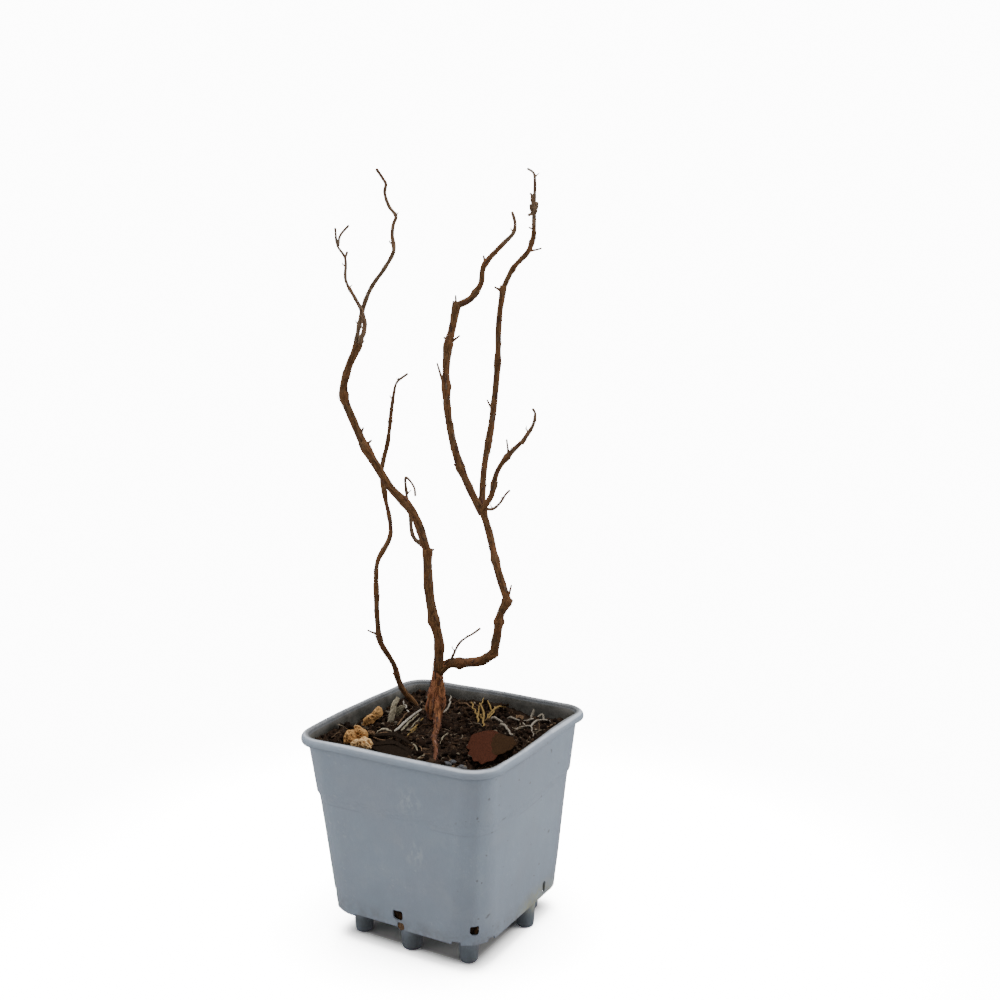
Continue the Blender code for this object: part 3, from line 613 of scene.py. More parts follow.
STEP_SPAN = (STEP_HEIGHT - 3.2 * MM, STEP_HEIGHT + 0.6 * MM)       # where the wall steps out
CORNER_SHRINK = 0.8             # how much of an inset a corner's radius loses
RIDGE_WIDTH = 0.16              # radians of a corner that its soft ridge takes up


def wall_at(height, inside=0.0):
    """Half width and corner radius of the pot's wall at each height, moved inwards."""
    share = (height - FOOT_HEIGHT) / (POT_HEIGHT - FOOT_HEIGHT)
    half = BASE_HALF + (WALL_TOP_HALF - STEP_IN - BASE_HALF) * share
    half = half + STEP_IN * smoothstep(height, *STEP_SPAN)
    corner = BASE_CORNER + (TOP_CORNER - BASE_CORNER) * share
    return half - inside, corner - inside * CORNER_SHRINK


def square_rings(halves, corners, heights, per_side, per_corner, ridge=0.0):
    """A stack of square outlines with round corners. One quarter is a straight side at half
    width h, from -(h - r) to h - r, and a quarter circle of radius r with a soft ridge of
    exp(-(a / w)^2) down its middle, w being the ridge's width. The rest are it, turned."""
    along = np.linspace(-1, 1, per_side, endpoint=False)
    turn = np.linspace(0, np.pi / 2, per_corner, endpoint=False)
    halves, corners = np.asarray(halves)[:, None], np.asarray(corners)[:, None]
    reach = halves - corners
    straight = np.stack([halves + 0 * along, reach * along], -1)
    ridged = corners + ridge * np.exp(-((turn - np.pi / 4) / RIDGE_WIDTH) ** 2)
    bend = np.stack([reach + ridged * np.cos(turn), reach + ridged * np.sin(turn)], -1)
    x, y = np.moveaxis(np.concatenate([straight, bend], 1), -1, 0)
    quarters = ((x, y), (-y, x), (-x, -y), (y, -x))
    around = np.concatenate([np.stack(pair, -1) for pair in quarters], 1)
    lift = np.broadcast_to(np.asarray(heights)[:, None, None], (*around.shape[:2], 1))
    return np.concatenate([around, lift], -1)


CORNER_RIDGE = 0.35 * MM
WALL_SEED = 21
WALL_OUTLINE = (44, 28)         # points along each side of the wall and round each corner
RIM_ROLL = (                    # out from the rim's edge and up from its lower edge, in millimetres
    (-4.5, 0.15), (-2.4, 0.0), (-0.7, 0.25), (-0.1, 1.3), (0.0, 3.0), (-0.7, 4.7), (-2.2, 5.8),
    (-3.8, 6.0), (-5.2, 5.3), (-5.7, 3.6),
)
ROLL_SOIL_AND_SHADE = 0.75             # how dark soil and painted shade make the inner half of the rim's roll
SKIRT_SOIL_AND_SHADE = 0.6               # how dark soil and painted shade make the skirt and the floor's underside
SKIRT_RINGS = ((0.0, 0.35), (0.0, 1.1), (1.0, 1.5), (3.0, 1.5))     # up and in, in millimetres
DRAIN_SPOTS = (                 # along the wall, height, width and height of each hole
    (-0.4, 30.6, 8.0, 7.2), (1.4, 21.8, 5.6, 7.4),
)
RAISED_SKIRT = (-19.4, 20.0, 36.2, 3.6)
SLIT = (28.0, 27.0, 4.0, 9.0)
NOTCH = (45.0, 20.0, 6.6, 5.0)
FAR_NOTCH = (-45.0, 20.0, 6.6, 5.0)
CORNER_DRAIN = (-0.7, 31.3, 6.2, 6.8)
FOOT_SPOTS = (                  # feet under the pot: from its middle lines in millimetres, and size
    (43.5, 43.5, 1), (43.5, -43.5, 1), (-43.5, 43.5, 1), (-43.5, -43.5, 1),
    (0, 47.5, 1.13), (0, -47.5, 1.13), (54, 18, 1), (-54, -18, 1),
)
FOOT_PROFILE = (                # radius and height of a foot, in millimetres, from its top down
    (7.7, 24.0), (7.6, 21.0), (7.1, 15.0), (6.7, 9.0), (6.4, 4.0), (6.2, 1.9), (5.9, 0.8),
    (5.3, 0.18), (4.6, 0.0), (2.3, 0.0),
)


def wavy(points):
    """Push the pot's thin walls out or in by a slow ripple, as soil and heat do, and more so
    higher up; the rim also sags a little."""
    push = ripple(points * (1, 1, 0.6), 85 * MM, WALL_SEED, 10) * 0.32 * MM
    push += ripple(points * (1, 1, 0.3), 34 * MM, WALL_SEED + 1, 10) * 0.10 * MM
    freedom = smoothstep(points[..., 2], FLOOR_TOP, 60 * MM)
    scale = 1 + (push * freedom / RIM_HALF)[..., None] * (1, 1, 0)
    sag = ripple(points * (1, 1, 0), 52 * MM, WALL_SEED + 2, 8) * 0.35 * MM
    lift = sag * smoothstep(points[..., 2], POT_HEIGHT - 14 * MM, POT_HEIGHT - 6 * MM)
    lowered = np.minimum(lift, POT_HEIGHT - points[..., 2])
    return points * scale + lowered[..., None] * (0, 0, 1)


def pot_rings():
    """Rings from the floor's top up the inner wall, over the rolled rim and down the outside to
    the skirt and the floor's underside, with how dark soil and painted shade make each ring."""
    under_rim = POT_HEIGHT - RIM_BAND
    inner = np.concatenate([np.linspace(FLOOR_TOP, STEP_HEIGHT - 0.8 * MM, 20),
                            np.linspace(STEP_HEIGHT + 0.8 * MM, under_rim + 2.8 * MM, 12)])
    outer = np.concatenate([np.linspace(under_rim - 0.6 * MM, STEP_HEIGHT + 0.7 * MM, 14),
                            np.linspace(STEP_HEIGHT, FOOT_HEIGHT + 1.2 * MM, 34),
                            [FOOT_HEIGHT + 0.4 * MM]])
    out, up = (smooth_path(RIM_ROLL, 0.5)[::-1] * MM).T
    rim_corner = TOP_CORNER + RIM_HALF - WALL_TOP_HALF
    skirt, skirt_in = np.array(SKIRT_RINGS).T * MM + [[FOOT_HEIGHT], [0.0]]
    # the rim's inner roll, darkened by soil and painted shade
    roll_soil_and_shade = ROLL_SOIL_AND_SHADE * smoothstep(out, -2.3 * MM, -3.9 * MM) * (up > 3 * MM)
    stretches = [
        (*wall_at(inner, WALL), inner, 1.0, 0.0),
        (RIM_HALF + out, rim_corner + out, under_rim + up, roll_soil_and_shade, 0.0),
        (*wall_at(outer), outer, 0.0, CORNER_RIDGE),
        (*wall_at(skirt, skirt_in), skirt, SKIRT_SOIL_AND_SHADE, CORNER_RIDGE),
    ]
    rings = [square_rings(*outline, *WALL_OUTLINE, ridge) for *outline, _, ridge in stretches]
    soil_and_shade = [np.broadcast_to(share, len(heights)) for _, _, heights, share, _ in stretches]
    return np.concatenate(rings), np.concatenate(soil_and_shade)


CUT_SIDES = 24
CUT_REACH = 8 * MM


def turned_about_z(points, turn):
    return points @ np.array(Matrix.Rotation(turn, 3, "Z")).T


def prism(hole, out, turn, frayed):
    """A cutter through a wall: a superellipse |x|^p + |z|^p = 1 of the hole's size, drawn out
    across the wall and turned to its side of the pot. Moulded edges are straight, with p at 10,
    and the edges of knocked-out holes are frayed, with p at 4."""
    along, height, width, tall = (size * MM for size in hole)
    power = 0.5 if frayed else 0.2
    angle = np.linspace(0, 2 * np.pi, CUT_SIDES, endpoint=False)
    cos, sin = np.cos(angle), np.sin(angle)
    edge = 1 + frayed * (np.sin(3 * angle + along * 900) + 0.8 * np.sin(5 * angle + height * 700))
    side = along + width / 2 * np.sign(cos) * np.abs(cos) ** power * edge
    up = height + tall / 2 * np.sign(sin) * np.abs(sin) ** power * edge
    rings = np.stack([np.stack([np.full(CUT_SIDES, out + step), side, up], -1)
                      for step in (-CUT_REACH, CUT_REACH)])
    points, quads, triangles = closed_rings(rings)
    return turned_about_z(points, turn), quads, triangles


def corner_out(height, inside=0.0):
    """How far the pot's corner stands from its middle at a height, moved inwards."""
    half, corner = wall_at(height, inside)
    return (half - corner) * math.sqrt(2) + corner


def pot_cutters(frayed):
    """Moulded cuts have straight edges: notches in the skirt and the stretch of it that is shorter.
    Frayed ones are the drain holes: in the front and back walls, at the corners, and side slits."""
    heap = Heap()
    for quarter in range(4):
        turn = quarter * math.pi / 2
        if frayed:
            holes = DRAIN_SPOTS if quarter % 2 else [SLIT]
            out = corner_out(CORNER_DRAIN[1] * MM)
            heap.add(*prism(CORNER_DRAIN, out, turn + math.pi / 4, frayed))
        else:
            holes = [NOTCH, RAISED_SKIRT] if quarter % 2 else [FAR_NOTCH]
        for hole in holes:
            heap.add(*prism(hole, wall_at(hole[1] * MM)[0], turn, frayed))
    return linked("pot_cutters", heap.mesh("pot_cutters"))


def build_pot(settings):
    """The moulded pot: one thin shell with a rolled rim, cut by its drain holes."""
    rings, soil_and_shade = pot_rings()
    points, quads, triangles = closed_rings(wavy(rings))
    heap = Heap()
    heap.add(points, quads, triangles,
             inside=np.concatenate([np.repeat(soil_and_shade, rings.shape[1]), [1.0, SKIRT_SOIL_AND_SHADE]]))
    shell = linked("uncut_shell", heap.mesh("uncut_shell"))
    cutters = [pot_cutters(frayed) for frayed in (0.0, 0.05)]
    for cutter in cutters:
        cut = shell.modifiers.new("cut", "BOOLEAN")
        cut.operation = "DIFFERENCE"
        cut.solver = "EXACT"
        cut.object = cutter
    mesh = evaluated_mesh("pot_shell", shell)
    for cutter in cutters:
        drop(cutter)
    new_piece("pot_shell", mesh, [plastic_finish(settings)], ["pot"],
              smooth_angle=38)


FOOT_SIDES = 48


def build_pot_feet(finish):
    """Eight tapered feet: one smooth profile turned round an upright line, with a faint seam."""
    radii, heights = (smooth_path(FOOT_PROFILE, 0.45) * MM).T[:, :, None]
    angle = np.linspace(0, 2 * np.pi, FOOT_SIDES, endpoint=False)
    radius = radii * (1 + 0.012 * np.exp(-((np.abs(np.sin(angle)) / 0.05) ** 2)))
    foot = np.stack([radius * np.cos(angle), radius * np.sin(angle),
                     np.broadcast_to(np.maximum(heights, 0.0), radius.shape)], -1)
    heap = Heap()
    for x, y, size in FOOT_SPOTS:
        stood = foot * (size, size, 1.0) + np.array([x, y, 0.0]) * MM
        points, quads, triangles = closed_rings(stood)
        heap.add(points, quads, triangles, inside=np.zeros(len(points)))
    new_piece("pot_feet", heap.mesh("pot_feet"), [finish], smooth_angle=50)


def calm_spots():
    """Where the compost lies level: round the trunk and the thin stem, and along the front root."""
    trunk, thin, end = place([TRUNK_FOOT, THIN_FOOT, ROOT_END])
    spots = [(trunk, FLARE_CALM), (thin, THIN_STEM_CALM)]
    spots += [(trunk + (end - trunk) * share, ROOT_CALM) for share in np.linspace(0.0, 1.0, 14)]
    return spots


LUMP_COUNT = 1100
LUMP_SEED = 31


def lumps():
    """Seeded lumps of compost: a centre, a radius and how far each stands out of the ground."""
    rule = np.random.default_rng(LUMP_SEED)
    half = wall_at(SOIL_LEVEL, WALL)[0]
    centres = rule.uniform(-half, half, (LUMP_COUNT, 2))
    radii = rule.uniform(1.3, 4.2, LUMP_COUNT) * MM
    return centres, radii, rule.uniform(0.30, 0.75, LUMP_COUNT)


def compost_height(x, y):
    """Height of the compost: the same crossing sine waves as in the solid, and on them lumps, each
    the cap of a ball sqrt(r^2 - d^2) that stands out by its share, where the ground isn't calm."""
    x, y = np.asarray(x, float), np.asarray(y, float)
    wave = sum(np.sin(a * x + b * y + phase) for a, b, phase in SOIL_WAVES) / len(SOIL_WAVES)
    calm = np.ones_like(x)
    for spot, radius in calm_spots():
        away = np.hypot(x - spot[0], y - spot[1])
        calm = calm * np.clip(away / radius - 1.0, 0.0, 1.0)
    flat = np.stack([x, y, np.zeros_like(x)], -1)
    top = np.full(x.shape, -1.0)
    centres, radii, shares = lumps()
    for first in range(0, LUMP_COUNT, 100):
        part = slice(first, first + 100)
        radius = radii[part]
        gap = np.square(x[..., None] - centres[part, 0])
        gap = gap + np.square(y[..., None] - centres[part, 1])
        cap = np.sqrt(np.maximum(np.square(radius) - gap, 0.0)) - radius * (1 - shares[part])
        top = np.maximum(top, cap.max(-1))
    lumpy = np.maximum(top, -0.6 * MM) * (0.35 + 0.65 * calm)
    fine = ripple(flat, 2.4 * MM, LUMP_SEED + 1) * 0.16 * MM
    fine = fine + ripple(flat, 6 * MM, LUMP_SEED + 2) * 0.25 * MM
    return SOIL_LEVEL + SOIL_RELIEF * wave * calm + lumpy + fine * (0.4 + 0.6 * calm)


BED_SHARES = np.linspace(0.0, 0.985, 130) ** 1.15       # how far in each ring of the bed's top is
BED_OUTLINE = (64, 14)


def build_compost(settings):
    """The filled pot: a block that keeps off the wall, with a lumpy top on rings that close in."""
    inset = WALL + 0.25 * MM
    sides = np.array([FLOOR_TOP + 0.3 * MM, 45 * MM, 80 * MM, STEP_HEIGHT - 1.5 * MM,
                      STEP_HEIGHT + 3 * MM, SOIL_LEVEL - 4 * MM])
    block = square_rings(*wall_at(sides, inset), sides, *BED_OUTLINE)
    half, corner = wall_at(np.full(len(BED_SHARES), SOIL_LEVEL), inset)
    left = 1 - BED_SHARES
    top = square_rings(half * left, corner * left, 0 * left, *BED_OUTLINE)
    top[..., 2] = compost_height(top[..., 0], top[..., 1])
    heap = Heap()
    heap.add(*closed_rings(np.concatenate([block, top])))
    new_piece("compost_bed", heap.mesh("compost_bed"), [compost_finish(settings)],
              ["soil"], smooth_angle=65)


def ball_template(rings=6, sides=8):
    """Points of a unit ball as rings between its poles, with its quads and fans."""
    lean = np.linspace(0.25, np.pi - 0.25, rings)[:, None]
    turn = np.linspace(0, 2 * np.pi, sides, endpoint=False)[None, :]
    ball = np.stack([np.sin(lean) * np.cos(turn), np.sin(lean) * np.sin(turn),
                     np.cos(lean) * np.ones_like(turn)], -1)
    points, quads, triangles = closed_rings(ball)
    points[-2:] = ((0, 0, 1), (0, 0, -1))
    return points, quads, triangles


def turned(points, rule, copies):
    """Copies of a shape, each turned by a seeded rotation made of three right-angled directions."""
    first = rule.normal(size=(copies, 3))
    first /= np.linalg.norm(first, axis=1)[:, None]
    second = np.cross(first, rule.normal(size=(copies, 3)))
    second /= np.linalg.norm(second, axis=1)[:, None]
    basis = np.stack([first, second, np.cross(first, second)], 1)
    return points @ basis


def scattered(rule, count, margin=3 * MM):
    """Seeded spots spread over the compost, inside the pot's round corners, off the trunk and off
    the stretches that litter covers."""
    half, corner = wall_at(SOIL_LEVEL, WALL + margin)
    spots = rule.uniform(-half, half, (count * 2, 2))
    over = np.maximum(np.abs(spots) - (half - corner), 0.0)
    spots = spots[np.hypot(over[:, 0], over[:, 1]) < corner]
    kept_clear = [(spot, radius * 0.75) for spot, radius in calm_spots()]
    kept_clear += [(place((across, 0, depth)), radius * MM) for across, depth, radius in COVERED]
    for spot, radius in kept_clear:
        spots = spots[np.hypot(spots[:, 0] - spot[0], spots[:, 1] - spot[1]) > radius]
    return spots[:count]


def kept_inside(points):
    """Points that lie past the pot's inner wall, moved back to it. With o the part of |x| and |y|
    past the straight sides' ends, a point is outside where |o| exceeds the corner's radius."""
    half, corner = wall_at(points[:, 2], WALL + 0.7 * MM)
    straight = (half - corner)[:, None]
    over = np.maximum(np.abs(points[:, :2]) - straight, 0.0)
    share = np.minimum(1.0, corner / np.maximum(np.hypot(over[:, 0], over[:, 1]), 1e-9))
    kept = np.minimum(np.abs(points[:, :2]), straight) + over * share[:, None]
    return np.column_stack([np.sign(points[:, :2]) * kept, points[:, 2]])


CRUMB_TONES = ((0.010, 0.006, 0.004), (0.020, 0.011, 0.007), (0.042, 0.025, 0.015),
               (0.120, 0.100, 0.075))
CRUMB_SHARES = (0.52, 0.30, 0.15, 0.03)
CRUMB_SEED = 41


def build_crumbs(settings):
    """Loose crumbs of compost: balls pushed out of shape by a ripple, of four tones of earth."""
    rule = np.random.default_rng(CRUMB_SEED)
    spots = scattered(rule, settings.crumb_count)
    template, quads, triangles = ball_template()
    copies = len(spots)
    size = rule.uniform(0.35, 1.0, copies) ** 3 * 2.4 * MM + 0.40 * MM
    squash = rule.uniform(0.55, 1.0, (copies, 3))
    shapes = template[None] * squash[:, None]
    bumps = ripple(template[None] + rule.uniform(-9, 9, (copies, 1, 3)), 1.3, CRUMB_SEED + 1)
    shapes = turned(shapes * (1 + 0.17 * bumps[..., None]), rule, copies) * size[:, None, None]
    height = compost_height(spots[:, 0], spots[:, 1]) + size * 0.25
    centres = np.column_stack([spots, height])
    tones = rule.choice(len(CRUMB_TONES), copies, p=CRUMB_SHARES)
    heap = Heap()
    heap.add(shapes + centres[:, None], quads, triangles, tones)
    heap.move(kept_inside)
    finishes = finish_set("crumb", CRUMB_TONES, roughness=0.92, scale=1500.0, bump=0.8,
                          specular=0.05)
    new_piece("compost_crumbs", heap.mesh("compost_crumbs"), finishes)


def bark_relief(run, angle, radius, seed, depth):
    """How far the bark stands in or out, and how deep the shade painted in its furrows and
    cracks is, at each distance run and angle.

    The place on the bark is (r cos a, r sin a, run / 6), so that every ripple is drawn out along
    the limb. Furrows are exp(-(ripple / width)^2), plates are where a broader ripple is high, and
    knobs are a ripple that isn't drawn out."""
    cos, sin = np.cos(angle), np.sin(angle)
    run, radius, cos, sin = np.broadcast_arrays(run, radius, cos, sin)
    along = np.stack([radius * cos, radius * sin, run / 6], -1)
    furrow = np.exp(-(ripple(along, 2.3 * MM, seed) / 0.20) ** 2)
    crack = np.exp(-(ripple(along, 1.2 * MM, seed + 1) / 0.16) ** 2)
    plate = smoothstep(ripple(along, 4.2 * MM, seed + 2), 0.2, 0.8)
    knob = ripple(np.stack([radius * cos, radius * sin, run / 1.6], -1), 5.5 * MM, seed + 3)
    relief = depth * (0.55 * plate - 0.75 * furrow - 0.30 * crack + 0.45 * knob)
    # the second value is the painted shade: deepest in furrows and cracks, least on plates
    return relief, np.clip(0.75 * furrow + 0.45 * crack - 0.3 * plate, 0.0, 1.0)


FULL_RELIEF_RADIUS = 1.6 * MM   # a thinner limb has a finer relief


def bark_tube(heap, path, radii, sides, seed, depth, scars=(), tip=0.0, rounded=(True, True)):
    """A limb: rings of radius r + relief round the path, with a leaf scar that stands out at each
    node, ends rounded by sqrt(1 - t^2), and the attributes that its bark reads."""
    run = lengths_along(path)
    _, side, up = frames_along(path)
    angle = np.linspace(0, 2 * np.pi, sides, endpoint=False)[None, :]
    radii = radii[:, None]
    relief, hollow = bark_relief(run[:, None] + seed * 0.37, angle, radii, seed, depth)
    relief = relief * np.minimum(1.0, radii / FULL_RELIEF_RADIUS)
    for number, scar in enumerate(scars):
        facing = number * 2.4 + seed
        round_it = np.arctan2(np.sin(angle - facing), np.cos(angle - facing)) / 0.75
        along_it = (run[:, None] - scar * run[-1]) / (0.55 * radii + 0.5 * MM)
        relief = relief + 0.15 * radii * np.exp(-along_it ** 2 - round_it ** 2)
    reach = radii + relief
    for gap, blunt in zip((run, run[-1] - run), rounded):
        if blunt:
            dome = np.clip(gap[:, None] / (radii * 0.8), 0.02, 1.0)
            reach = reach * np.sqrt(1 - (1 - dome) ** 2)
    cos, sin = np.cos(angle), np.sin(angle)
    around = cos[..., None] * side[:, None] + sin[..., None] * up[:, None]
    points, quads, triangles = closed_rings(path[:, None] + reach[..., None] * around)
    grain = np.stack(np.broadcast_arrays(radii * cos, radii * sin, run[:, None] + seed * 0.05), -1)
    grain = grain.reshape(-1, 3)
    tips = np.broadcast_to(tip, len(path))
    heap.add(points, quads, triangles,
             grain=np.vstack([grain, grain[:1], grain[-1:]]),
             hollow=np.concatenate([hollow.ravel(), [0.5, 0.5]]),
             tip=np.concatenate([np.repeat(tips, sides), tips[:1], tips[-1:]]))


def drawn_out(path, radii, before, after):
    """A path and its radii, carried straight on at both ends so that it ends in its neighbours."""
    def beyond(end, inner, by):
        return end + (end - inner) / np.linalg.norm(end - inner) * by
    path = np.vstack([beyond(path[0], path[1], before), path, beyond(path[-1], path[-2], after)])
    return path, np.concatenate([radii[:1], radii, radii[-1:]])


def nearest_share(path, at):
    """The number of the point of a path that lies nearest to a share of its length."""
    return int(np.argmin(np.abs(shares_along(path) - at)))


SINK = 0.6                      # how much of the limb's radius a side shoot starts inside it


def spur_line(path, radii, at, aim, length, bend=0.15):
    """A side shoot's line: from inside the limb at a share of its length, curving upwards by
    bend * t^2. Gives its points."""
    index = nearest_share(path, at)
    aim = place(aim)
    aim = aim / np.linalg.norm(aim)
    start = path[index] + aim * radii[index] * (1 - SINK)
    reach = radii[index] * SINK + length
    run = np.linspace(0.0, 1.0, max(6, int(reach / (0.35 * MM))))[:, None]
    return start + aim * reach * run + np.array([0, 0, reach * bend]) * run * run


def spur_radii(line, thick, thin):
    """Radii of a side shoot flaring into its limb: thin + (thick - thin)(1 - s), and a collar."""
    share = shares_along(line)
    return thin + (thick - thin) * (1 - share) + 0.55 * thick * np.exp(-((share / 0.22) ** 2))


# The stems and boughs: knots as across, height and depth in millimetres, the radius at each end
# in millimetres, the nodes as shares of the length, and the spurs as a share, a direction, a
# length and a thickness
LIMBS = {
    "left_cane_lower": (
        [FORK, (-4.5, 200.1, 28), (-8.1, 217, 29), (-11.1, 237.3, 31), (-12, 266, 33)], (3.7, 3.2),
        (0.42, 0.97), [(0.98, (1, 0.4, 0), 1.8, 1.5)]),
    "left_cane_middle": (
        [(-12, 265.5, 33), (-18.7, 288.2, 29), (-25.3, 300.7, 24), (-36, 313.5, 20),
        (-46.8, 331, 20), (-55, 344.8, 22)], (3.1, 2.8), (0.45, 0.96), [(0.985, (1, 0.6, -0.4),
        3.4, 1.2)]),
    "left_cane_upper": (
        [(-54.8, 344.4, 22), (-61.5, 361.3, 22), (-67.2, 379.3, 18), (-63.9, 395.2, 13),
        (-55.6, 413.4, 9)], (2.8, 2.6), (0.5, 0.97), [(0.93, (1, 1, -0.3), 6.5, 1.1),
        (0.08, (0.55, 1, -0.3), 3.6, 1.2)]),
    "right_cane_base": (
        [(-4.2, 177, 30), (2.6, 182.2, 31), (12.7, 182.6, 31), (25.5, 185.1, 27), (35.2, 193, 19)],
        (3.4, 3), (0.35, 0.97), []),
    "right_cane_lower": (
        [(35, 192.6, 19.3), (38, 212.4, 14), (39.9, 223.9, 12), (45.1, 234.4, 10)], (3, 3),
        (0.6, 0.97), [(0.95, (0.3, 1, -0.2), 9, 1.2)]),
    "right_cane_upper": (
        [(44.6, 234.6, 10.2), (38.3, 255.3, 14), (32.3, 281, 22), (27.6, 297.3, 25)], (2.8, 2.4),
        (0.45, 0.96), []),
    "right_bough_left_lower": (
        [(27, 295, 25), (19.9, 310, 25), (11.1, 332.5, 22), (5.2, 360.4, 20), (3.5, 385.1, 20),
        (4.8, 408.9, 23), (8.8, 425.9, 25), (11.6, 440.5, 26)], (2.6, 2.4), (0.24, 0.62, 0.8, 0.98),
        [(0.24, (-1, 0.3, 0), 1.5, 1.9), (0.6, (-0.35, 1, -0.2), 15, 1.3), (0.82, (1, 0.5, -0.4),
        6, 1.1), (0.83, (-1, 0.5, 0), 1.3, 1.2), (0.985, (-0.05, 1, 0), 4, 0.8)]),
    "right_bough_left_upper": (
        [(11.2, 438.9, 26), (20.7, 443.4, 24), (28, 453.4, 20), (30.4, 465.4, 18),
        (43.7, 480.2, 17)], (2.2, 1.5), (0.3, 0.68), [(0.68, (-0.3, 1, 0), 2.8, 1)]),
    "right_bough_middle_lower": (
        [(27.2, 296.4, 26), (29.3, 323.3, 36), (35.4, 358.4, 40), (39.5, 397.2, 40),
        (40.8, 428.6, 38), (43.9, 451, 36)], (2.3, 1.9), (0.32, 0.66, 0.98), [(0.45, (-0.6, 1, 0.1),
        6, 0.8), (0.985, (-1, 0.35, 0), 4, 1.2)]),
    "right_bough_middle_upper": (
        [(43.6, 450.2, 36), (51.3, 464.7, 33), (60.8, 474.8, 30), (64.4, 484.9, 28),
        (64.8, 495.2, 27)], (1.8, 1.4), (0.3, 0.72), [(0.9, (-1, 0.3, -0.2), 2.4, 0.6),
        (0.6, (1, 0.05, 0), 7.5, 0.75)]),
    "right_bough_right": (
        [(27.8, 296.8, 24), (33.9, 307.6, 17), (38.1, 325.5, 10), (46.9, 339.3, 2),
        (56.2, 349.2, -4)], (2, 1.5), (0.35, 0.72), [(0.76, (-0.15, 1, -0.2), 8, 0.8)]),
    "thin_stem_lower": (
        [(-22.6, 133, 66), THIN_FOOT, (-34.4, 157, 57.5), (-38.8, 176.5, 49), (-47.5, 196.4, 40),
        (-48.9, 213.1, 34), (-49, 241.6, 30)], (2.1, 1.7), (0.33, 0.66, 0.98),
        [(0.67, (-1, 0.35, -0.3), 6.5, 1)]),
    "thin_stem_upper": (
        [(-49, 241, 30.1), (-47.5, 258.5, 30), (-38.1, 277.9, 33), (-40.9, 303.1, 34),
        (-43.2, 322, 33), (-38.2, 345.9, 32), (-35, 368, 28)], (1.7, 1.2), (0.22, 0.55, 0.8), []),
}
# The masses of twigs: knots and end radii as above, the seed and spacing of the side buds, and
# the forks with their own knots and radii
TWIGS = {
    "twigs_left_top": (
        [(-54, 415.5, 8.2), (-50.2, 426.4, 4.5), (-51.8, 436.4, 1.5), (-56.5, 445.8, 2),
        (-61.8, 456.3, 2), (-61.8, 471.3, 0), (-66.3, 479.2, -2), (-67.4, 490.9, -4)], (1.5, 0.5),
        1, 16, [([(-66, 478.6, -1.8), (-64.3, 485.4, -4), (-58, 492.3, -6)], (0.8, 0.45)),
        ([(-61.9, 471, 0), (-59.8, 475.5, -2.5)], (0.9, 0.4))]),
    "twigs_left_high": (
        [(-56.8, 415.5, 9.8), (-54.1, 428.9, 11.5), (-51.5, 438.3, 10), (-45.5, 451.5, 5.5),
        (-35.8, 464.5, 2), (-29.6, 475.5, 2), (-30.4, 486, 4), (-29.6, 493, 5.5),
        (-27.9, 498.1, 6.5), (-32.6, 505.1, 9), (-35.2, 514, 9.5), (-34.3, 519.3, 9),
        (-36, 522.6, 8), (-40.3, 529, 5)], (1.6, 0.8), 2, 20, []),
    "twigs_right_top_left": (
        [(43.2, 479.6, 17), (50.4, 487.1, 16), (51.5, 493.1, 15), (49.4, 501, 13)], (1.4, 0.8),
        3, 14, []),
    "twigs_right_top": (
        [(64.8, 494.6, 27), (65, 503.5, 26.4), (65, 508.5, 26), (65.3, 520.1, 24),
        (64.4, 526.5, 23), (59.9, 529.5, 21)], (1.4, 0.6), 4, 12, [([(64.6, 499.5, 26.6),
        (65, 504, 26.2), (64.9, 508.5, 25.8)], (2.3, 2.1)), ([(64.4, 500.5, 26.4),
        (62.9, 503.5, 25.4), (62.4, 506.5, 25)], (1.5, 0.8)), ([(64.9, 501.5, 26.4),
        (66.6, 504.5, 26), (67, 508, 26)], (1.5, 0.8)), ([(64.8, 506, 26), (63.4, 509, 25),
        (63.2, 512, 24.6)], (1.4, 0.7)), ([(64.6, 500.5, 26.4), (60.4, 498.8, 24)], (1, 0.8)),
        ([(64.8, 511, 25.6), (61.8, 513.5, 24)], (0.9, 0.6))]),
    "twigs_right_side": (
        [(55.8, 348.8, -3.8), (62.2, 359.8, -8), (63.4, 367.8, -11), (61.6, 371.5, -13)],
        (1.4, 0.6), 5, 9, []),
    "twigs_left_node": (
        [(-13, 267, 35), (-21.9, 274.5, 40), (-24.3, 290.1, 43), (-26.7, 308.5, 42),
        (-26.6, 318, 40), (-20.7, 311.6, 36), (-19.7, 305, 34)], (1.5, 0.45), 6, 18, []),
    "twigs_thin_stem": (
        [(-35.1, 367.2, 28.2), (-33, 379, 25), (-30.5, 387, 22), (-22.4, 393.6, 16)], (1.2, 0.45),
        7, 12, []),
    "twigs_low": (
        [(3, 183, 30.5), (10.1, 198.5, 26), (14.2, 203.4, 22), (20.1, 208, 18), (25.6, 213.4, 13)],
        (0.9, 0.45), 8, 15, []),
    "twigs_right_node": (
        [(29.6, 297.4, 23), (35, 298.2, 18), (40, 303.4, 12), (44.1, 310.7, 6), (46.8, 313.9, 3)],
        (1, 0.45), 9, 15, []),
}
LIMB_STEP = 0.8 * MM            # spacing of the rings along a limb and along a twig
TWIG_STEP = 0.55 * MM
UNEVEN_SEED = 50


def limb_line(name):
    """A limb's fine path and radii, with the slight unevenness of a grown stem."""
    knots, (thick, thin), nodes, _ = LIMBS[name]
    path = smooth_path(place(knots), LIMB_STEP)
    radii = tapered(path, thick * MM, thin * MM, nodes)
    uneven = ripple(path, 16 * MM, UNEVEN_SEED, 10)
    return path, radii * (1 + 0.045 * uneven) + 0.14 * MM


LIMB_SIDES, SPUR_SIDES = 28, 14
LIMB_SEED = 60
SPUR_END = 0.60 * MM


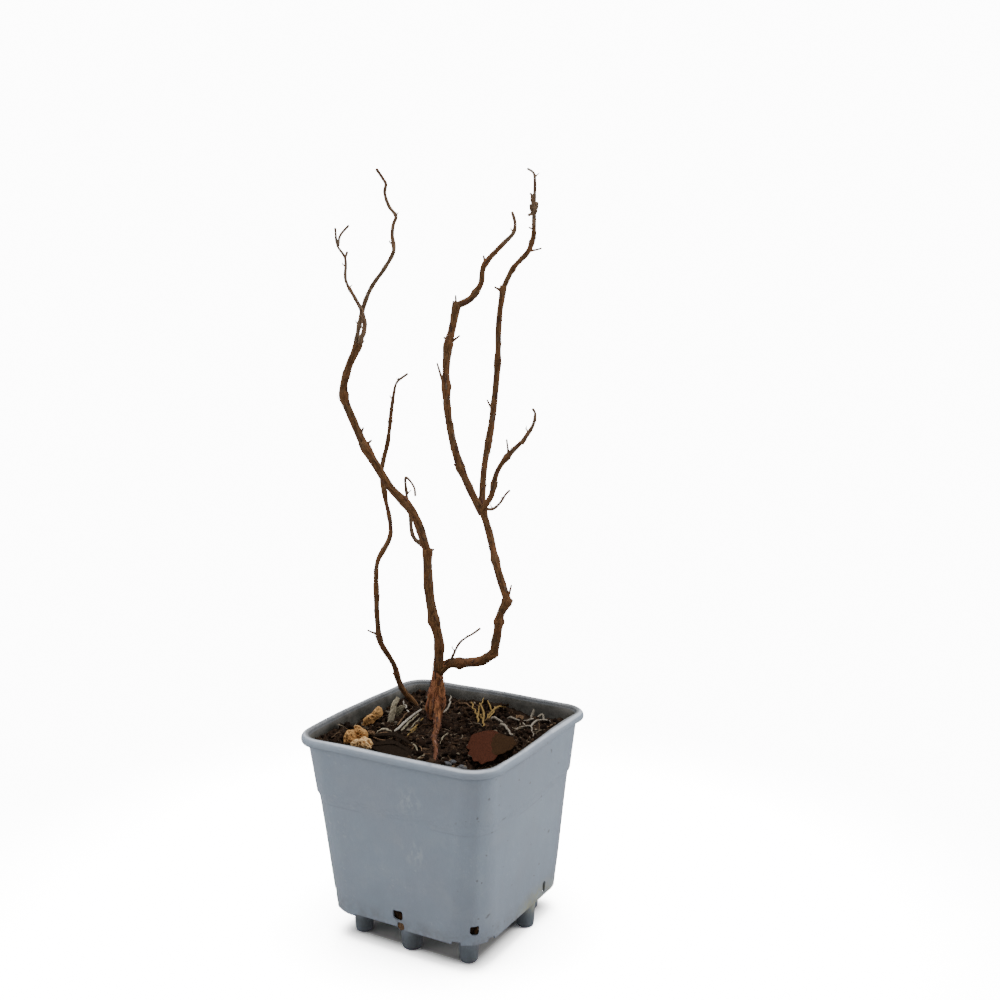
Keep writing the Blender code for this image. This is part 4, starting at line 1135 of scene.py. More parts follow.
def build_limbs(settings):
    """Each stem and bough as one tapering limb with furrowed bark, its leaf scars and its spurs."""
    finish = bark_finish("brown_bark", settings.cane_dark, settings.cane_light, settings.cane_blush,
                         0.42, 0.34, 1500.0)
    for seed, (name, (_, _, nodes, spurs)) in enumerate(LIMBS.items(), LIMB_SEED):
        heap = Heap()
        path, radii = limb_line(name)
        bark_tube(heap, *drawn_out(path, radii, 1.6 * MM, 1.2 * MM), LIMB_SIDES, seed,
                  settings.relief, nodes, rounded=(False, False))
        for number, (at, aim, length, thick) in enumerate(spurs):
            line = spur_line(path, radii, at, aim, length * MM)
            pale = smoothstep(shares_along(line), 0.35, 1.0) * 0.6
            bark_tube(heap, line, spur_radii(line, thick * MM, SPUR_END), SPUR_SIDES,
                      seed + 20 * number, 0.05 * MM, tip=pale)
        new_piece(name + "_bark", heap.mesh(name + "_bark"), [finish], [name])


def side_shoots(path, spacing, rule):
    """The source's seeded rule: a bud or short shoot at each node, on alternate sides."""
    count = int(lengths_along(path)[-1] / spacing)
    for number in range(1, count + 1):
        at = (number - 0.4) / (count + 0.4)
        turn = number * math.radians(137.5) + rule.uniform(-0.4, 0.4)
        reach = rule.uniform(1.4, 3.2) * MM
        yield at, (math.cos(turn), 0.75, math.sin(turn)), reach


TWIG_SIDES, FORK_SIDES, SHOOT_SIDES, TWIGLET_SIDES = 16, 14, 10, 7
TWIG_SEED, FORK_SEED, SHOOT_SEED, TWIGLET_SEED = 100, 130, 150, 170
THINNEST = 0.84 * MM            # the least radius of a twig's own stem
TWIG_RELIEF = 0.07 * MM


def pale_share(radii):
    """How pale a twig is where it thins out."""
    return smoothstep(radii, 1.15 * MM, 0.45 * MM)


def build_twigs(settings):
    """Each mass of twigs: its stem and forks, the side shoots of the seeded rule, and on every
    shoot finer twiglets within its reach."""
    finish = bark_finish("twig_bark", settings.twig_dark, settings.twig_light, settings.cane_blush,
                         0.30, 0.42, 2400.0)
    for name, (knots, (thick, thin), seed, spacing, forks) in TWIGS.items():
        heap = Heap()
        rule = np.random.default_rng(BUD_SEED + seed)
        path = smooth_path(place(knots), TWIG_STEP)
        radii = np.maximum(tapered(path, thick * MM, thin * MM) + 0.20 * MM, THINNEST)
        shoots = list(side_shoots(path, spacing * MM, rule))
        swollen = radii * (1 + 0.05 * ripple(path, 7 * MM, UNEVEN_SEED + 1, 10))
        pale = pale_share(np.pad(radii, 1, mode="edge"))
        bark_tube(heap, *drawn_out(path, swollen, 2.4 * MM, 0.0), TWIG_SIDES, TWIG_SEED + seed,
                  TWIG_RELIEF, [at for at, _, _ in shoots], pale, (False, True))
        for fork_knots, (fork_thick, fork_thin) in forks:
            line = smooth_path(place(fork_knots), TWIG_STEP)
            widths = tapered(line, fork_thick * MM, fork_thin * MM) + 0.15 * MM
            widths = np.maximum(widths, THINNEST)
            bark_tube(heap, line, widths, FORK_SIDES, FORK_SEED + seed, TWIG_RELIEF,
                      tip=pale_share(widths))
        for number, (at, aim, reach) in enumerate(shoots):
            line = spur_line(path, radii, at, aim, reach)
            widths = spur_radii(line, radii[nearest_share(path, at)] * 0.55, 0.30 * MM)
            bark_tube(heap, line, widths, SHOOT_SIDES, SHOOT_SEED + seed + number, 0.03 * MM,
                      tip=0.55)
            for side in (-1, 1):
                lean = (aim[0] + side * 0.7, aim[1], aim[2] - side * 0.7)
                twiglet = spur_line(line, widths, 0.45 + 0.2 * side, lean, reach * 0.45, bend=0.4)
                bark_tube(heap, twiglet, spur_radii(twiglet, 0.34 * MM, 0.20 * MM), TWIGLET_SIDES,
                          TWIGLET_SEED + number, 0.0, tip=0.75)
        new_piece(name + "_bark", heap.mesh(name + "_bark"), [finish], [name])


# Strands of the trunk's flare: bearing, reach and thickness in millimetres, as in the solid
FLARE = (
    (188, 6.2, 3), (245, 4.8, 2.6), (5, 4.6, 2.8), (62, 7, 3), (120, 8, 3.2),
    (312, 4, 2.4),
)
TRUNK_CORE = [(-8.2, 136, 34.5), (-7.2, 150, 33.2), (-6.2, 166, 31), FORK]
LONG_ROOT = [(-7.0, 161, 30), (-6.8, 148, 25.5), (-6.3, 141.2, 16), (-7.6, 140.0, -8),
             (-6.0, 139.2, -30), ROOT_END, (-7.5, 138.2, -62)]
STRAND_SIDES, STRAND_SEED = 20, 200
TRUNK_SEED = 210
CANE_START = 12                 # rings of each cane that the trunk is grown together with
TRUNK_VOXEL = 0.42 * MM


def trunk_strands():
    """The lines that the trunk is grown from, with their radii: its core, the strands of the
    flare, the long root to the front, and the first stretch of both canes."""
    core = smooth_path(place(TRUNK_CORE), LIMB_STEP)
    share = shares_along(core)
    strands = [(core, (3.6 + 2.9 * np.exp(-((share - 0.42) / 0.30) ** 2) + 0.3 * share) * MM)]
    foot = np.array(TRUNK_FOOT)
    for bearing, reach, thick in FLARE:
        turn = math.radians(bearing)
        out = np.array([math.cos(turn), 0.0, math.sin(turn)])
        knots = [foot + out * 2.2 + (1.0, 24.0, -1.5), foot + out * reach * 0.80 + (0.3, 13.0, 0),
                 foot + out * reach * 0.78 + (0, 5.0, 0), foot + out * reach * 0.62 + (0, -2.5, 0)]
        line = smooth_path(place(knots), LIMB_STEP)
        strands.append((line, tapered(line, thick * MM, thick * 0.40 * MM)))
    root = smooth_path(place(LONG_ROOT), LIMB_STEP)
    strands.append((root, tapered(root, 3.1 * MM, 0.8 * MM)))
    for cane in ("left_cane_lower", "right_cane_base"):
        line, widths = limb_line(cane)
        strands.append((line[:CANE_START], widths[:CANE_START] * 0.97))
    return strands


def nearest_strand(points, strands):
    """For each point the strand whose bark it lies nearest to, with the distance run along it,
    the angle round it and its radius there."""
    best = np.full(len(points), np.inf)
    run, angle, radius = (np.zeros(len(points)) for _ in range(3))
    for number, (line, widths) in enumerate(strands):
        _, side, up = frames_along(line)
        offset = points[:, None] - line[None]
        gap = np.linalg.norm(offset, axis=2) - widths
        ring = gap.argmin(1)
        rows = np.arange(len(points))
        better = gap[rows, ring] < best
        best = np.where(better, gap[rows, ring], best)
        out = offset[rows, ring]
        turn = np.arctan2(np.einsum("ij,ij->i", out, up[ring]),
                          np.einsum("ij,ij->i", out, side[ring]))
        run = np.where(better, lengths_along(line)[ring] + number * 0.21, run)
        angle = np.where(better, turn, angle)
        radius = np.where(better, widths[ring], radius)
    return run, angle, radius


def mesh_vectors(mesh, field):
    """A mesh's places or normals as rows."""
    values = np.empty(len(mesh.vertices) * 3, np.float32)
    mesh.vertices.foreach_get(field, values)
    return values.reshape(-1, 3).astype(float)


def build_trunk(settings):
    """The trunk: its strands grown together by a fine remesh, smoothed, furrowed along each strand
    by the bark's relief, and ragged near the ground. The long root is dark and even."""
    strands = trunk_strands()
    heap = Heap()
    for number, (line, widths) in enumerate(strands):
        bark_tube(heap, line, widths, STRAND_SIDES, STRAND_SEED + number, 0.0)
    rough = linked("trunk_strands", heap.mesh("trunk_strands"))
    grown = rough.modifiers.new("grown_together", "REMESH")
    grown.mode = "VOXEL"
    grown.voxel_size = TRUNK_VOXEL
    eased = rough.modifiers.new("eased", "SMOOTH")
    eased.factor = 0.5
    eased.iterations = 5
    mesh = evaluated_mesh("trunk_bark", rough)
    points, normals = mesh_vectors(mesh, "co"), mesh_vectors(mesh, "normal")
    run, angle, radius = nearest_strand(points, strands)
    relief, hollow = bark_relief(run, angle, radius, TRUNK_SEED, settings.relief * 2.4)
    relief *= np.minimum(1.0, radius / (2 * FULL_RELIEF_RADIUS)) ** 1.5
    depth = points[:, 1] * math.cos(PLANT_TURN) - points[:, 0] * math.sin(PLANT_TURN)
    root = smoothstep(depth, 25 * MM, 12 * MM)
    ragged = ripple(points * (1, 1, 0.35), 3.2 * MM, TRUNK_SEED + 3) * 0.35 * MM
    ragged *= smoothstep(points[:, 2], FORK[1] * MM, 150 * MM) * (1 - root)
    points += normals * (relief + ragged)[:, None]
    mesh.vertices.foreach_set("co", points.ravel())
    grain = np.stack([radius * np.cos(angle), radius * np.sin(angle), run], -1)
    set_attribute(mesh, "grain", grain)
    # the furrows' painted shade, and the long root made darker
    set_attribute(mesh, "hollow", np.maximum(hollow, 0.90 * root))
    set_attribute(mesh, "tip", np.zeros(len(points)))
    mesh.update()
    finish = bark_finish("red_bark", settings.trunk_dark, settings.trunk_light,
                         settings.trunk_blush, 0.50, 0.20, 1300.0)
    new_piece("trunk_bark", mesh, [finish], ["trunk"])


FLAKE_TONES = ((0.150, 0.060, 0.038), (0.215, 0.105, 0.070), (0.100, 0.042, 0.026),
               (0.062, 0.028, 0.017), (0.120, 0.078, 0.050), (0.045, 0.022, 0.014))
FLAKE_SEED = 71
FLAKE_HALF_THICK = 0.07 * MM
# For the trunk's strands and for the canes: flakes on each 60 mm, how much longer the flakes are,
# how far they lift, and the range of their tones
TRUNK_FLAKES = (60, 1.3, 2.2, (0, 4))
CANE_FLAKES = (16, 1.0, 1.1, (2, 6))


def build_bark_flakes():
    """Peeling strips of bark on the trunk and canes: flat four-sided strips that hug the limb and
    lift away towards one end by t^2."""
    rule = np.random.default_rng(FLAKE_SEED)
    heap = Heap()
    hosts = [(*strand, TRUNK_FLAKES) for strand in trunk_strands()[:-2]]
    hosts += [(*limb_line(name), CANE_FLAKES) for name in LIMBS]
    t = np.linspace(0.0, 1.0, 7)[:, None]
    for line, widths, (rate, longer, lifted, tones) in hosts:
        tangents, side, up = frames_along(line)
        count = int(rate * lengths_along(line)[-1] / (60 * MM))
        reach = rule.uniform(2.2, 6.5, count) * MM * longer
        steps = np.maximum((reach / LIMB_STEP).astype(int), 2)
        first = (rule.uniform(0.02, 0.92, count) * len(line)).astype(int)
        turn = rule.uniform(0, 2 * np.pi, count)
        twist = rule.uniform(-0.5, 0.5, count)
        lift = rule.uniform(0.15, 1.0, count) ** 2 * lifted * MM
        width = rule.uniform(0.25, 0.75, count) * MM
        for i in range(count):
            ring = np.minimum(first[i] + (t[:, 0] * steps[i]).astype(int), len(line) - 1)
            angle = turn[i] + twist[i] * t
            out = np.cos(angle) * side[ring] + np.sin(angle) * up[ring]
            across = np.cos(angle) * up[ring] - np.sin(angle) * side[ring]
            middle = line[ring] + tangents[ring] * reach[i] * t * 0.15
            middle = middle + out * (widths[ring][:, None] * 0.98 + lift[i] * t * t)
            across = across * width[i] * np.sin(np.pi * (0.12 + 0.83 * t)) ** 0.6
            out = out * FLAKE_HALF_THICK
            rings = np.stack([middle + across - out, middle + across + out,
                              middle - across + out, middle - across - out], 1)
            heap.add(*closed_rings(rings), tone=int(rule.integers(*tones)))
    finishes = finish_set("bark_flake", FLAKE_TONES, roughness=0.85, scale=2200.0)
    new_piece("bark_flakes", heap.mesh("bark_flakes"), finishes)


def on_compost(spots):
    """Points from rows of across, depth and height above the compost."""
    spots = np.asarray(spots, float)
    points = place(np.stack([spots[:, 0], 0 * spots[:, 0], spots[:, 1]], -1))
    points[:, 2] = compost_height(points[:, 0], points[:, 1]) + spots[:, 2] * MM
    return points


ROD_SEED, SLAB_SEED, STRAW_SEED, PEBBLE_SEED = 300, 330, 360, 380


def rod(heap, path, radii, tone, seed, sides, flat, rough):
    """A straw, twig or root: ellipses of radius r (1 + ripple) round a path, whose ends narrow by
    sqrt(1 - (2 s - 1)^14) at each share s of its length."""
    share, run = shares_along(path), lengths_along(path)
    ends = np.sqrt(np.clip(1 - np.abs(2 * share - 1) ** 14, 0.03, 1))
    _, side, up = frames_along(path)
    angle = np.linspace(0, 2 * np.pi, sides, endpoint=False)[None, :]
    cos, sin = np.cos(angle), np.sin(angle)
    radii = np.broadcast_to(radii, share.shape)[:, None]
    round_it = np.stack(np.broadcast_arrays(radii * cos, radii * sin, run[:, None] / 3), -1)
    reach = radii * ends[:, None] * (1 + rough * ripple(round_it, 2.2 * MM, ROD_SEED + seed))
    around = cos[..., None] * side[:, None] + flat * sin[..., None] * up[:, None]
    heap.add(*closed_rings(path[:, None] + reach[..., None] * around), tone=tone)


SLAB_ROWS = 16


def slab(heap, edge, normal, thick, bulge, square, rough, grain, tone, seed):
    """A chip, flake, nugget or dead leaf: its smooth outline drawn in to its middle by a share r,
    bulged by 1 - r^2, thickened on both sides by sqrt(1 - r^square) and creased by -|ripple|."""
    edge = smooth_path(np.vstack([edge, edge[:1]]), 0.7 * MM)[:-1]
    centre = edge.mean(0)
    normal = normal / np.linalg.norm(normal)
    out = np.linspace(0.05, 1.0, SLAB_ROWS)
    r = np.concatenate([out, out[::-1][1:]])[:, None, None]
    way = np.repeat([1.0, -1.0], [SLAB_ROWS, SLAB_ROWS - 1])[:, None, None]
    frayed = 1 + 0.05 * ripple(edge, max(grain, 2.0 * MM), SLAB_SEED + seed)[None, :, None] * r ** 3
    rings = centre + (edge - centre) * r * frayed
    crease = 0.45 - np.abs(ripple(rings, grain, SLAB_SEED + 10 + seed))[..., None]
    body = np.sqrt(np.clip(1 - r ** square, 0, 1))
    deep = bulge * (1 - r ** 2) + way * thick / 2 * body
    deep = deep + rough * crease * body * (way if thick > 1.5 * MM else 1.0)
    heap.add(*closed_rings(rings + normal * deep), tone=tone)


LITTER_TONES = (
    (0.430, 0.235, 0.090),      # orange cork
    (0.620, 0.400, 0.190),      # bright cork
    (0.205, 0.180, 0.125),      # pale wood
    (0.330, 0.300, 0.250),      # straw
    (0.014, 0.009, 0.006),      # dark leaf
    (0.048, 0.016, 0.009),      # reddish leaf
    (0.240, 0.160, 0.060),      # tan moss stalks
    (0.235, 0.205, 0.165),      # pale root
    (0.085, 0.085, 0.090),      # grey pebble
    (0.130, 0.080, 0.046),      # brown twig
    (0.370, 0.325, 0.235),      # pale chip
    (0.030, 0.015, 0.007),      # brown leaf
)
(CORK, BRIGHT_CORK, PALE_WOOD, STRAW, DARK_LEAF, RED_LEAF, MOSS, ROOT, PEBBLE, TWIG, PALE_CHIP,
 BROWN_LEAF) = range(12)
# Each slab: its outline as across, depth and height above the compost, which way it faces, then
# its thickness, bulge and squareness, and its tone
LITTER_SLABS = (
    ([(-60.5, 16, 1.8), (-58.8, 16, -1), (-53, 16, 0.8), (-50.4, 16, 4.5), (-47, 16, 6.5),
     (-45, 16, 10.8), (-47.4, 16, 14.3), (-50.3, 16, 13.5), (-52.9, 16, 10), (-58.7, 16, 6.3)],
     (-0.15, -1, 0.3), 6.5, 0.8, 2.5, CORK),
    ([(-70.5, -18, -2), (-69.5, -18, 6.5), (-66.5, -18, 10.5), (-62.5, -18, 8.5), (-61, -18, 2),
     (-63, -18, -2)], (-0.2, -1, 0.4), 8, 1.2, 2.5, CORK),
    ([(-64.5, -15, 0), (-63.5, -15, 8), (-61.5, -15, 11.8), (-57.5, -15, 10), (-54.5, -15, 7),
     (-55, -15, 0)], (0.1, -1, 0.4), 7, 1, 2.5, CORK),
    ([(-66, -25, -2), (-64.5, -25, 3.5), (-60.5, -25, 6), (-56, -25, 5.5), (-52.5, -25, 3),
     (-50.5, -25, -2)], (0, -1, 0.6), 7, 1, 2.5, BRIGHT_CORK),
    ([(-59, -20, -1), (-58, -20, 6), (-54, -20, 6.5), (-50.5, -20, 3.5), (-49.5, -20, -2),
     (-55, -20, -3)], (0.2, -1, 0.5), 6, 1, 2.5, BRIGHT_CORK),
    ([(-56, -8, 0), (-54, -8, 4), (-50, -8, 3.5), (-49, -8, 0)], (0, -1, 0.5), 4.5, 0.5, 2.5, TWIG),
    ([(-43.5, 28, -1), (-41.5, 28, 7), (-39.2, 28, 15), (-35.6, 28, 19.5), (-34, 28, 18),
     (-35.8, 28, 14), (-37, 28, 7), (-39.5, 28, -1)], (0.3, -1, 0.1), 1.9, 0.4, 4, PALE_CHIP),
    ([(-37.5, 30, 5), (-36, 30, 10), (-32.5, 30, 12), (-29.5, 30, 11), (-31.5, 30, 8),
     (-35.5, 30, 3)], (0.1, -1, 0.4), 1.8, 0.4, 4, PALE_WOOD),
    ([(-50.4, -3, -0.5), (-47.9, -3, 3.2), (-43.7, -3, 6), (-40.4, -3, 5.6), (-37.2, -3, 2.2),
     (-43.8, -3, 0)], (0, -1, 0.6), 1.9, 0.6, 3, PALE_CHIP),
    ([(-52, -20, 1.2), (-46, -12, 2.4), (-37.3, -13, 2.2), (-27.6, -23, 1.2), (-19.8, -40, 1),
     (-30.8, -49, 2), (-45.8, -32, 1.6)], (0, 0, 1), 0.5, 1.6, 8, DARK_LEAF),
    ([(-52, -12, 3), (-44, -5, 5.2), (-35, -8, 5), (-26, -19, 3.6), (-22, -28, 2.4), (-30, -18, 4),
     (-38, -13, 4.8), (-46, -13, 4.2)], (0, -0.4, 1), 0.6, 0.8, 8, DARK_LEAF),
    ([(-50, -24, 2.8), (-42, -17, 4.8), (-33, -21, 4.6), (-25, -32, 3.2), (-22, -40, 2.4),
     (-29, -31, 3.8), (-36, -26, 4.6), (-44, -25, 4)], (0, -0.4, 1), 0.6, 0.8, 8, DARK_LEAF),
    ([(15.5, -30, 2.4), (21, -14, 3.8), (31, -10, 4.4), (40, -15, 4.4), (45, -28, 3.6),
     (40, -46, 3), (33, -60, 2.8), (25, -68, 2.6), (17.5, -52, 2.4)], (0, 0, 1),
     0.5, 1.2, 8, RED_LEAF),
    ([(28, -34, 4.6), (32, -24, 5.4), (40, -19, 5.6), (48, -24, 4.6), (48.5, -34, 4), (42, -48, 4),
     (33, -54, 4)], (0.1, 0, 1), 0.5, 0.8, 8, BROWN_LEAF),
    ([(37.8, 50, 2), (46.2, 50, 3.5), (45.6, 44, 6.8), (40.5, 42, 6)], (0.3, -1, 0.5),
     1.1, 1.2, 6, TWIG),
    ([(-31, -56, 0), (-24, -62, 0), (-22, -54, 0.5), (-28, -49, 0.5)], (0.2, 0, 1),
     2.4, 0.6, 3, TWIG),
    ([(50, 34, 0), (55, 30, 0), (57, 36, 1), (52, 40, 1)], (0, -0.5, 1), 2.2, 0.5, 3, TWIG),
    ([(-8, 70, 0), (0, 68, 0), (2, 75, 1.5), (-5, 78, 2)], (0, -0.8, 1), 3.4, 0.8, 3, DARK_LEAF),
)
# Each rod: its knots as across, depth and height above the compost, its radii, its tone and how
# flat it is
LITTER_RODS = (
    ([(-36.1, 6.7, 2.8), (-27, 26, 3.4), (-18.4, 44, 3.6)], 1.05, 0.85, STRAW, 0.7),
    ([(-31.6, 0.3, 1.8), (-20.7, 38, 2.2)], 0.75, 0.6, PALE_WOOD, 0.8),
    ([(-26.4, -6, 0.8), (-22, 12, 1.4), (-17.2, 34, 1.4)], 0.65, 0.5, MOSS, 0.8),
    ([(-34.9, 16, 3.8), (-29.4, 40, 3.2)], 0.65, 0.55, TWIG, 0.8),
    ([(-29, -3, 1.4), (-19.5, 30, 2)], 0.6, 0.45, PALE_WOOD, 0.8),
    ([(-24.9, 2, 1.4), (-18, 24, 1.8)], 0.6, 0.45, MOSS, 0.8),
    ([(-28.7, 45.7, 1), (-32, 60, 2.6), (-34, 72, 2.4)], 0.7, 0.5, STRAW, 1),
    ([(-50, -9, 3.4), (-42, -9, 4.9), (-32, -14, 4), (-22, -28, 1.6)], 0.6, 0.4, TWIG, 0.7),
    ([(-51, -16, 3), (-41, -19, 4.8), (-30, -26, 3.2)], 0.45, 0.35, TWIG, 0.7),
    ([(-23.5, -19.4, 1), (-20, -29, 1.6), (-17.9, -36.9, 0.8)], 0.75, 0.45, PALE_WOOD, 1),
    ([(-18.2, -13.6, 1), (-17, -26, 1.8), (-14.4, -38.9, 1)], 0.55, 0.4, TWIG, 1),
    ([(-19.8, -60, 1), (-16.5, -48, 1.4), (-13, -40.8, 1)], 0.65, 0.5, PALE_WOOD, 1),
    ([(-3.4, -20, 1), (-1.5, -9, 1.6), (1.1, 2.1, 1)], 0.6, 0.45, PALE_WOOD, 1),
    ([(26.3, 26, 0.3), (27.3, 32, 3.5), (24.9, 45, 7)], 1.00, 0.6, MOSS, 1),
    ([(29.9, 35, 1), (37.8, 42, 6.4), (44.8, 46, 6)], 0.9, 0.5, MOSS, 1),
    ([(34.3, 40, 2), (30.1, 50, 6.6)], 0.7, 0.5, MOSS, 1),
    ([(24, 22, 0.5), (21, 36, 4), (18, 48, 7.4)], 0.8, 0.5, MOSS, 1),
    ([(27, 24, 0.5), (33, 30, 4), (36, 44, 5)], 0.7, 0.4, MOSS, 1),
    ([(25, 30, 0.5), (24, 40, 5), (28, 52, 8)], 0.7, 0.4, MOSS, 1),
    ([(28, 8, 1), (27, 20, 1.6), (25, 34, 3)], 0.7, 0.5, MOSS, 1),
    ([(30, 12, 1), (31.5, 24, 1.8), (30, 36, 3)], 0.6, 0.5, MOSS, 1),
    ([(64.5, 40, 7), (62.6, 38, 3), (65, 36, 2.2), (70.3, 38, 5.5), (72.3, 36, 3), (70.1, 34, 1.6),
     (64, 32, 1.4), (56.9, 30, 1), (52, 32, 1.6)], 1.00, 0.7, ROOT, 0.9),
    ([(33, 26, 2.5), (36, 23, 2.8), (41.5, 18, 1.2)], 1.00, 0.7, ROOT, 1),
    ([(39, 10, 1), (41.1, 6, 1.8), (45.7, -6, 1.6), (48.1, -10, 0.6)], 0.9, 0.7, ROOT, 0.9),
    ([(60, 6, 0.6), (64, 14, 1.8), (67.4, 22, 2.6), (71.4, 20, 2), (76, 22, 1.2)],
     0.9, 0.6, ROOT, 0.9),
    ([(45, 30, 0.8), (48, 22, 2.2), (54, 20, 1.8), (57, 12, 0.8)], 0.75, 0.5, ROOT, 0.9),
    ([(50, 4, 0.8), (54, 9, 1.8), (60, 6, 1.6), (62, -6, 1)], 0.7, 0.45, ROOT, 0.9),
    ([(-2.7, 44.8, 1), (1.6, 56.2, 2.6), (2.7, 77.5, 3)], 0.8, 0.5, ROOT, 1),
    ([(52, -40, 0.8), (60, -30, 1.6), (66, -12, 1)], 0.6, 0.35, TWIG, 1),
    ([(8, 66, 0.8), (15, 60, 2.2), (20, 50, 0.8)], 0.6, 0.4, TWIG, 1),
)
PEBBLES = (                     # across, depth and radius
    (2.2, -56, 3), (6.1, -50.7, 2.6), (12.2, -65.3, 3.4), (9.6, -67, 2.2), (5.7, -70.4, 2.4),
)
COVERED = (                     # where the litter keeps crumbs off: across, depth and radius
    (-38, -22, 13), (-30, -36, 9), (31, -26, 14), (31, -46, 12),
    (-58, -16, 9),
)


# Soil that sits in the drain holes: along the wall, height, width and height, and its tone
WALL_SOIL = (((1.6, 22.4, 5.8, 5.6), TWIG), ((2.0, 29.6, 3.0, 5.0), BROWN_LEAF))
CORNER_SOIL = (((0.9, 30.6, 3.0, 4.6), BROWN_LEAF), ((1.7, 32.2, 1.5, 2.6), TWIG))


def drain_soil():
    """Turn, distance out, size and tone of each bit of soil that shows in a drain hole."""
    for quarter in range(4):
        turn = quarter * math.pi / 2
        for size, tone in WALL_SOIL if quarter % 2 else ():
            yield turn, wall_at(size[1] * MM, 1.0 * MM)[0], size, tone
        for size, tone in CORNER_SOIL:
            yield turn + math.pi / 4, corner_out(size[1] * MM, 1.2 * MM), size, tone


def build_litter():
    """What lies on the compost: corky bark, pale chips, straw, dead leaves, moss and roots."""
    heap = Heap()
    for number, (outline, facing, thick, bulge, square, tone) in enumerate(LITTER_SLABS):
        lift = np.array(outline, float)[:, 2] * MM
        edge = on_compost(outline)
        edge[:, 2] = np.percentile(edge[:, 2] - lift, 70) + lift
        leaf = thick < 0.8
        rough = (0.07 if leaf else 0.30 if thick < 2 else 1.0) * MM
        across, back, up = facing
        slab(heap, edge, place((across, up, back)), thick * MM, bulge * MM, square, rough,
             (8.0 if leaf else 3.0) * MM, tone, number)
    for number, (knots, thick, thin, tone, flat) in enumerate(LITTER_RODS):
        path = smooth_path(on_compost(knots), 0.7 * MM)
        waver = ripple(path, 7 * MM, STRAW_SEED + number)[:, None]
        path = path + waver * np.array([0.3, 0.3, 0.15]) * MM
        radii = np.linspace(thick, thin, len(path)) * MM
        rod(heap, path, radii, tone, number, sides=9, flat=flat, rough=0.05)
    template, quads, triangles = ball_template(10, 14)
    for number, (across, depth, radius) in enumerate(PEBBLES):
        centre = on_compost([(across, depth, radius * 0.25)])[0]
        shape = template * (1 + 0.08 * ripple(template + number, 1.2, PEBBLE_SEED)[:, None])
        shape = shape * (1.0, 0.85, 0.7)
        heap.add(centre + shape * radius * MM, quads, triangles, tone=PEBBLE)
    heap.move(kept_inside)
    for turn, out, (side, height, width, tall), tone in drain_soil():
        block = template * (1 + 0.14 * ripple(template + side, 0.8, PEBBLE_SEED + 1)[:, None])
        block = (block * (0.9, width / 2, tall / 2) + (out / MM, side, height)) * MM
        heap.add(turned_about_z(block, turn), quads, triangles, tone=tone)
    finishes = finish_set("litter", LITTER_TONES, roughness=0.90, scale=1500.0, bump=0.8,
                          spread=0.42, specular=0.03)
    new_piece("compost_litter", heap.mesh("compost_litter"), finishes, smooth_angle=60)


FIBRE_TONES = ((0.150, 0.120, 0.085), (0.095, 0.062, 0.038), (0.060, 0.034, 0.020),
               (0.034, 0.020, 0.012))
FIBRE_SHARES = (0.28, 0.24, 0.28, 0.20)
CHIP_SHARES = (0.20, 0.25, 0.30, 0.25)
FIBRE_SEED = 43
KEPT_FROM_WALL = 6 * MM


def build_fibres(settings):
    """Loose straws and rootlets that bend by 4 t^2 - 1, and flat chips of wood, each turned and
    tilted, spread by a seeded rule over the compost."""
    rule = np.random.default_rng(FIBRE_SEED)
    heap = Heap()
    t = np.linspace(-0.5, 0.5, 7)
    for number, spot in enumerate(scattered(rule, settings.fibre_count, KEPT_FROM_WALL)):
        length = rule.uniform(3.0, 12.0) * MM
        turn = rule.uniform(0, 2 * np.pi)
        bend = rule.normal(0, 0.16) * length * (4 * t * t - 1)
        x = spot[0] + length * t * np.cos(turn) - bend * np.sin(turn)
        y = spot[1] + length * t * np.sin(turn) + bend * np.cos(turn)
        ground = compost_height(x, y)
        z = np.maximum(ground, np.median(ground)) + rule.uniform(-0.3, 0.6) * MM
        z = z + rule.uniform(0, 0.5) * length * t
        radius = rule.uniform(0.16, 0.48) * MM
        tone = int(rule.choice(len(FIBRE_TONES), p=FIBRE_SHARES))
        rod(heap, np.column_stack([x, y, z]), radius, tone, number, sides=5, flat=0.8, rough=0.1)
    chips = scattered(rule, settings.chip_count, KEPT_FROM_WALL)
    template, quads, triangles = ball_template()
    template = np.sign(template) * np.abs(template) ** 0.6
    copies = len(chips)
    size = np.column_stack([rule.uniform(1.2, 3.6, copies), rule.uniform(0.6, 1.6, copies),
                            rule.uniform(0.18, 0.55, copies)]) * MM
    bumps = ripple(template[None] + rule.uniform(-9, 9, (copies, 1, 3)), 0.9, FIBRE_SEED + 1)
    shapes = template[None] * (1 + 0.12 * bumps)[..., None] * size[:, None]
    turn, tilt = rule.uniform(0, 2 * np.pi, copies), rule.normal(0, 0.45, copies)
    cos, sin, flat, steep = np.cos(turn), np.sin(turn), np.cos(tilt), np.sin(tilt)
    axes = ((cos * flat, sin * flat, steep), (-sin, cos, 0 * turn),
            (-cos * steep, -sin * steep, flat))
    basis = np.stack([np.column_stack(axis) for axis in axes], 1)
    centres = np.column_stack([chips, compost_height(chips[:, 0], chips[:, 1]) + 0.3 * MM])
    tones = rule.choice(len(FIBRE_TONES), copies, p=CHIP_SHARES)
    heap.add(shapes @ basis + centres[:, None], quads, triangles, tones)
    heap.move(kept_inside)
    finishes = finish_set("fibre", FIBRE_TONES, roughness=0.90, scale=1600.0, spread=0.35,
                          specular=0.03)
    new_piece("compost_fibres", heap.mesh("compost_fibres"), finishes)


CAMERA_SPOT = (21.66, 451.80, -858.62)
CAMERA_PITCH = math.radians(10.20)
CAMERA_ROLL = math.radians(-0.609)
LENS = 45.72
LENS_SHIFT = (0.0263, 0.0150)
SENSOR = 36.0
LIGHT_AIM = (0.0, 0.0, 0.2)
SKY_TINT = (0.97, 0.985, 1.0, 1)
WHITE = (1, 1, 1, 1)


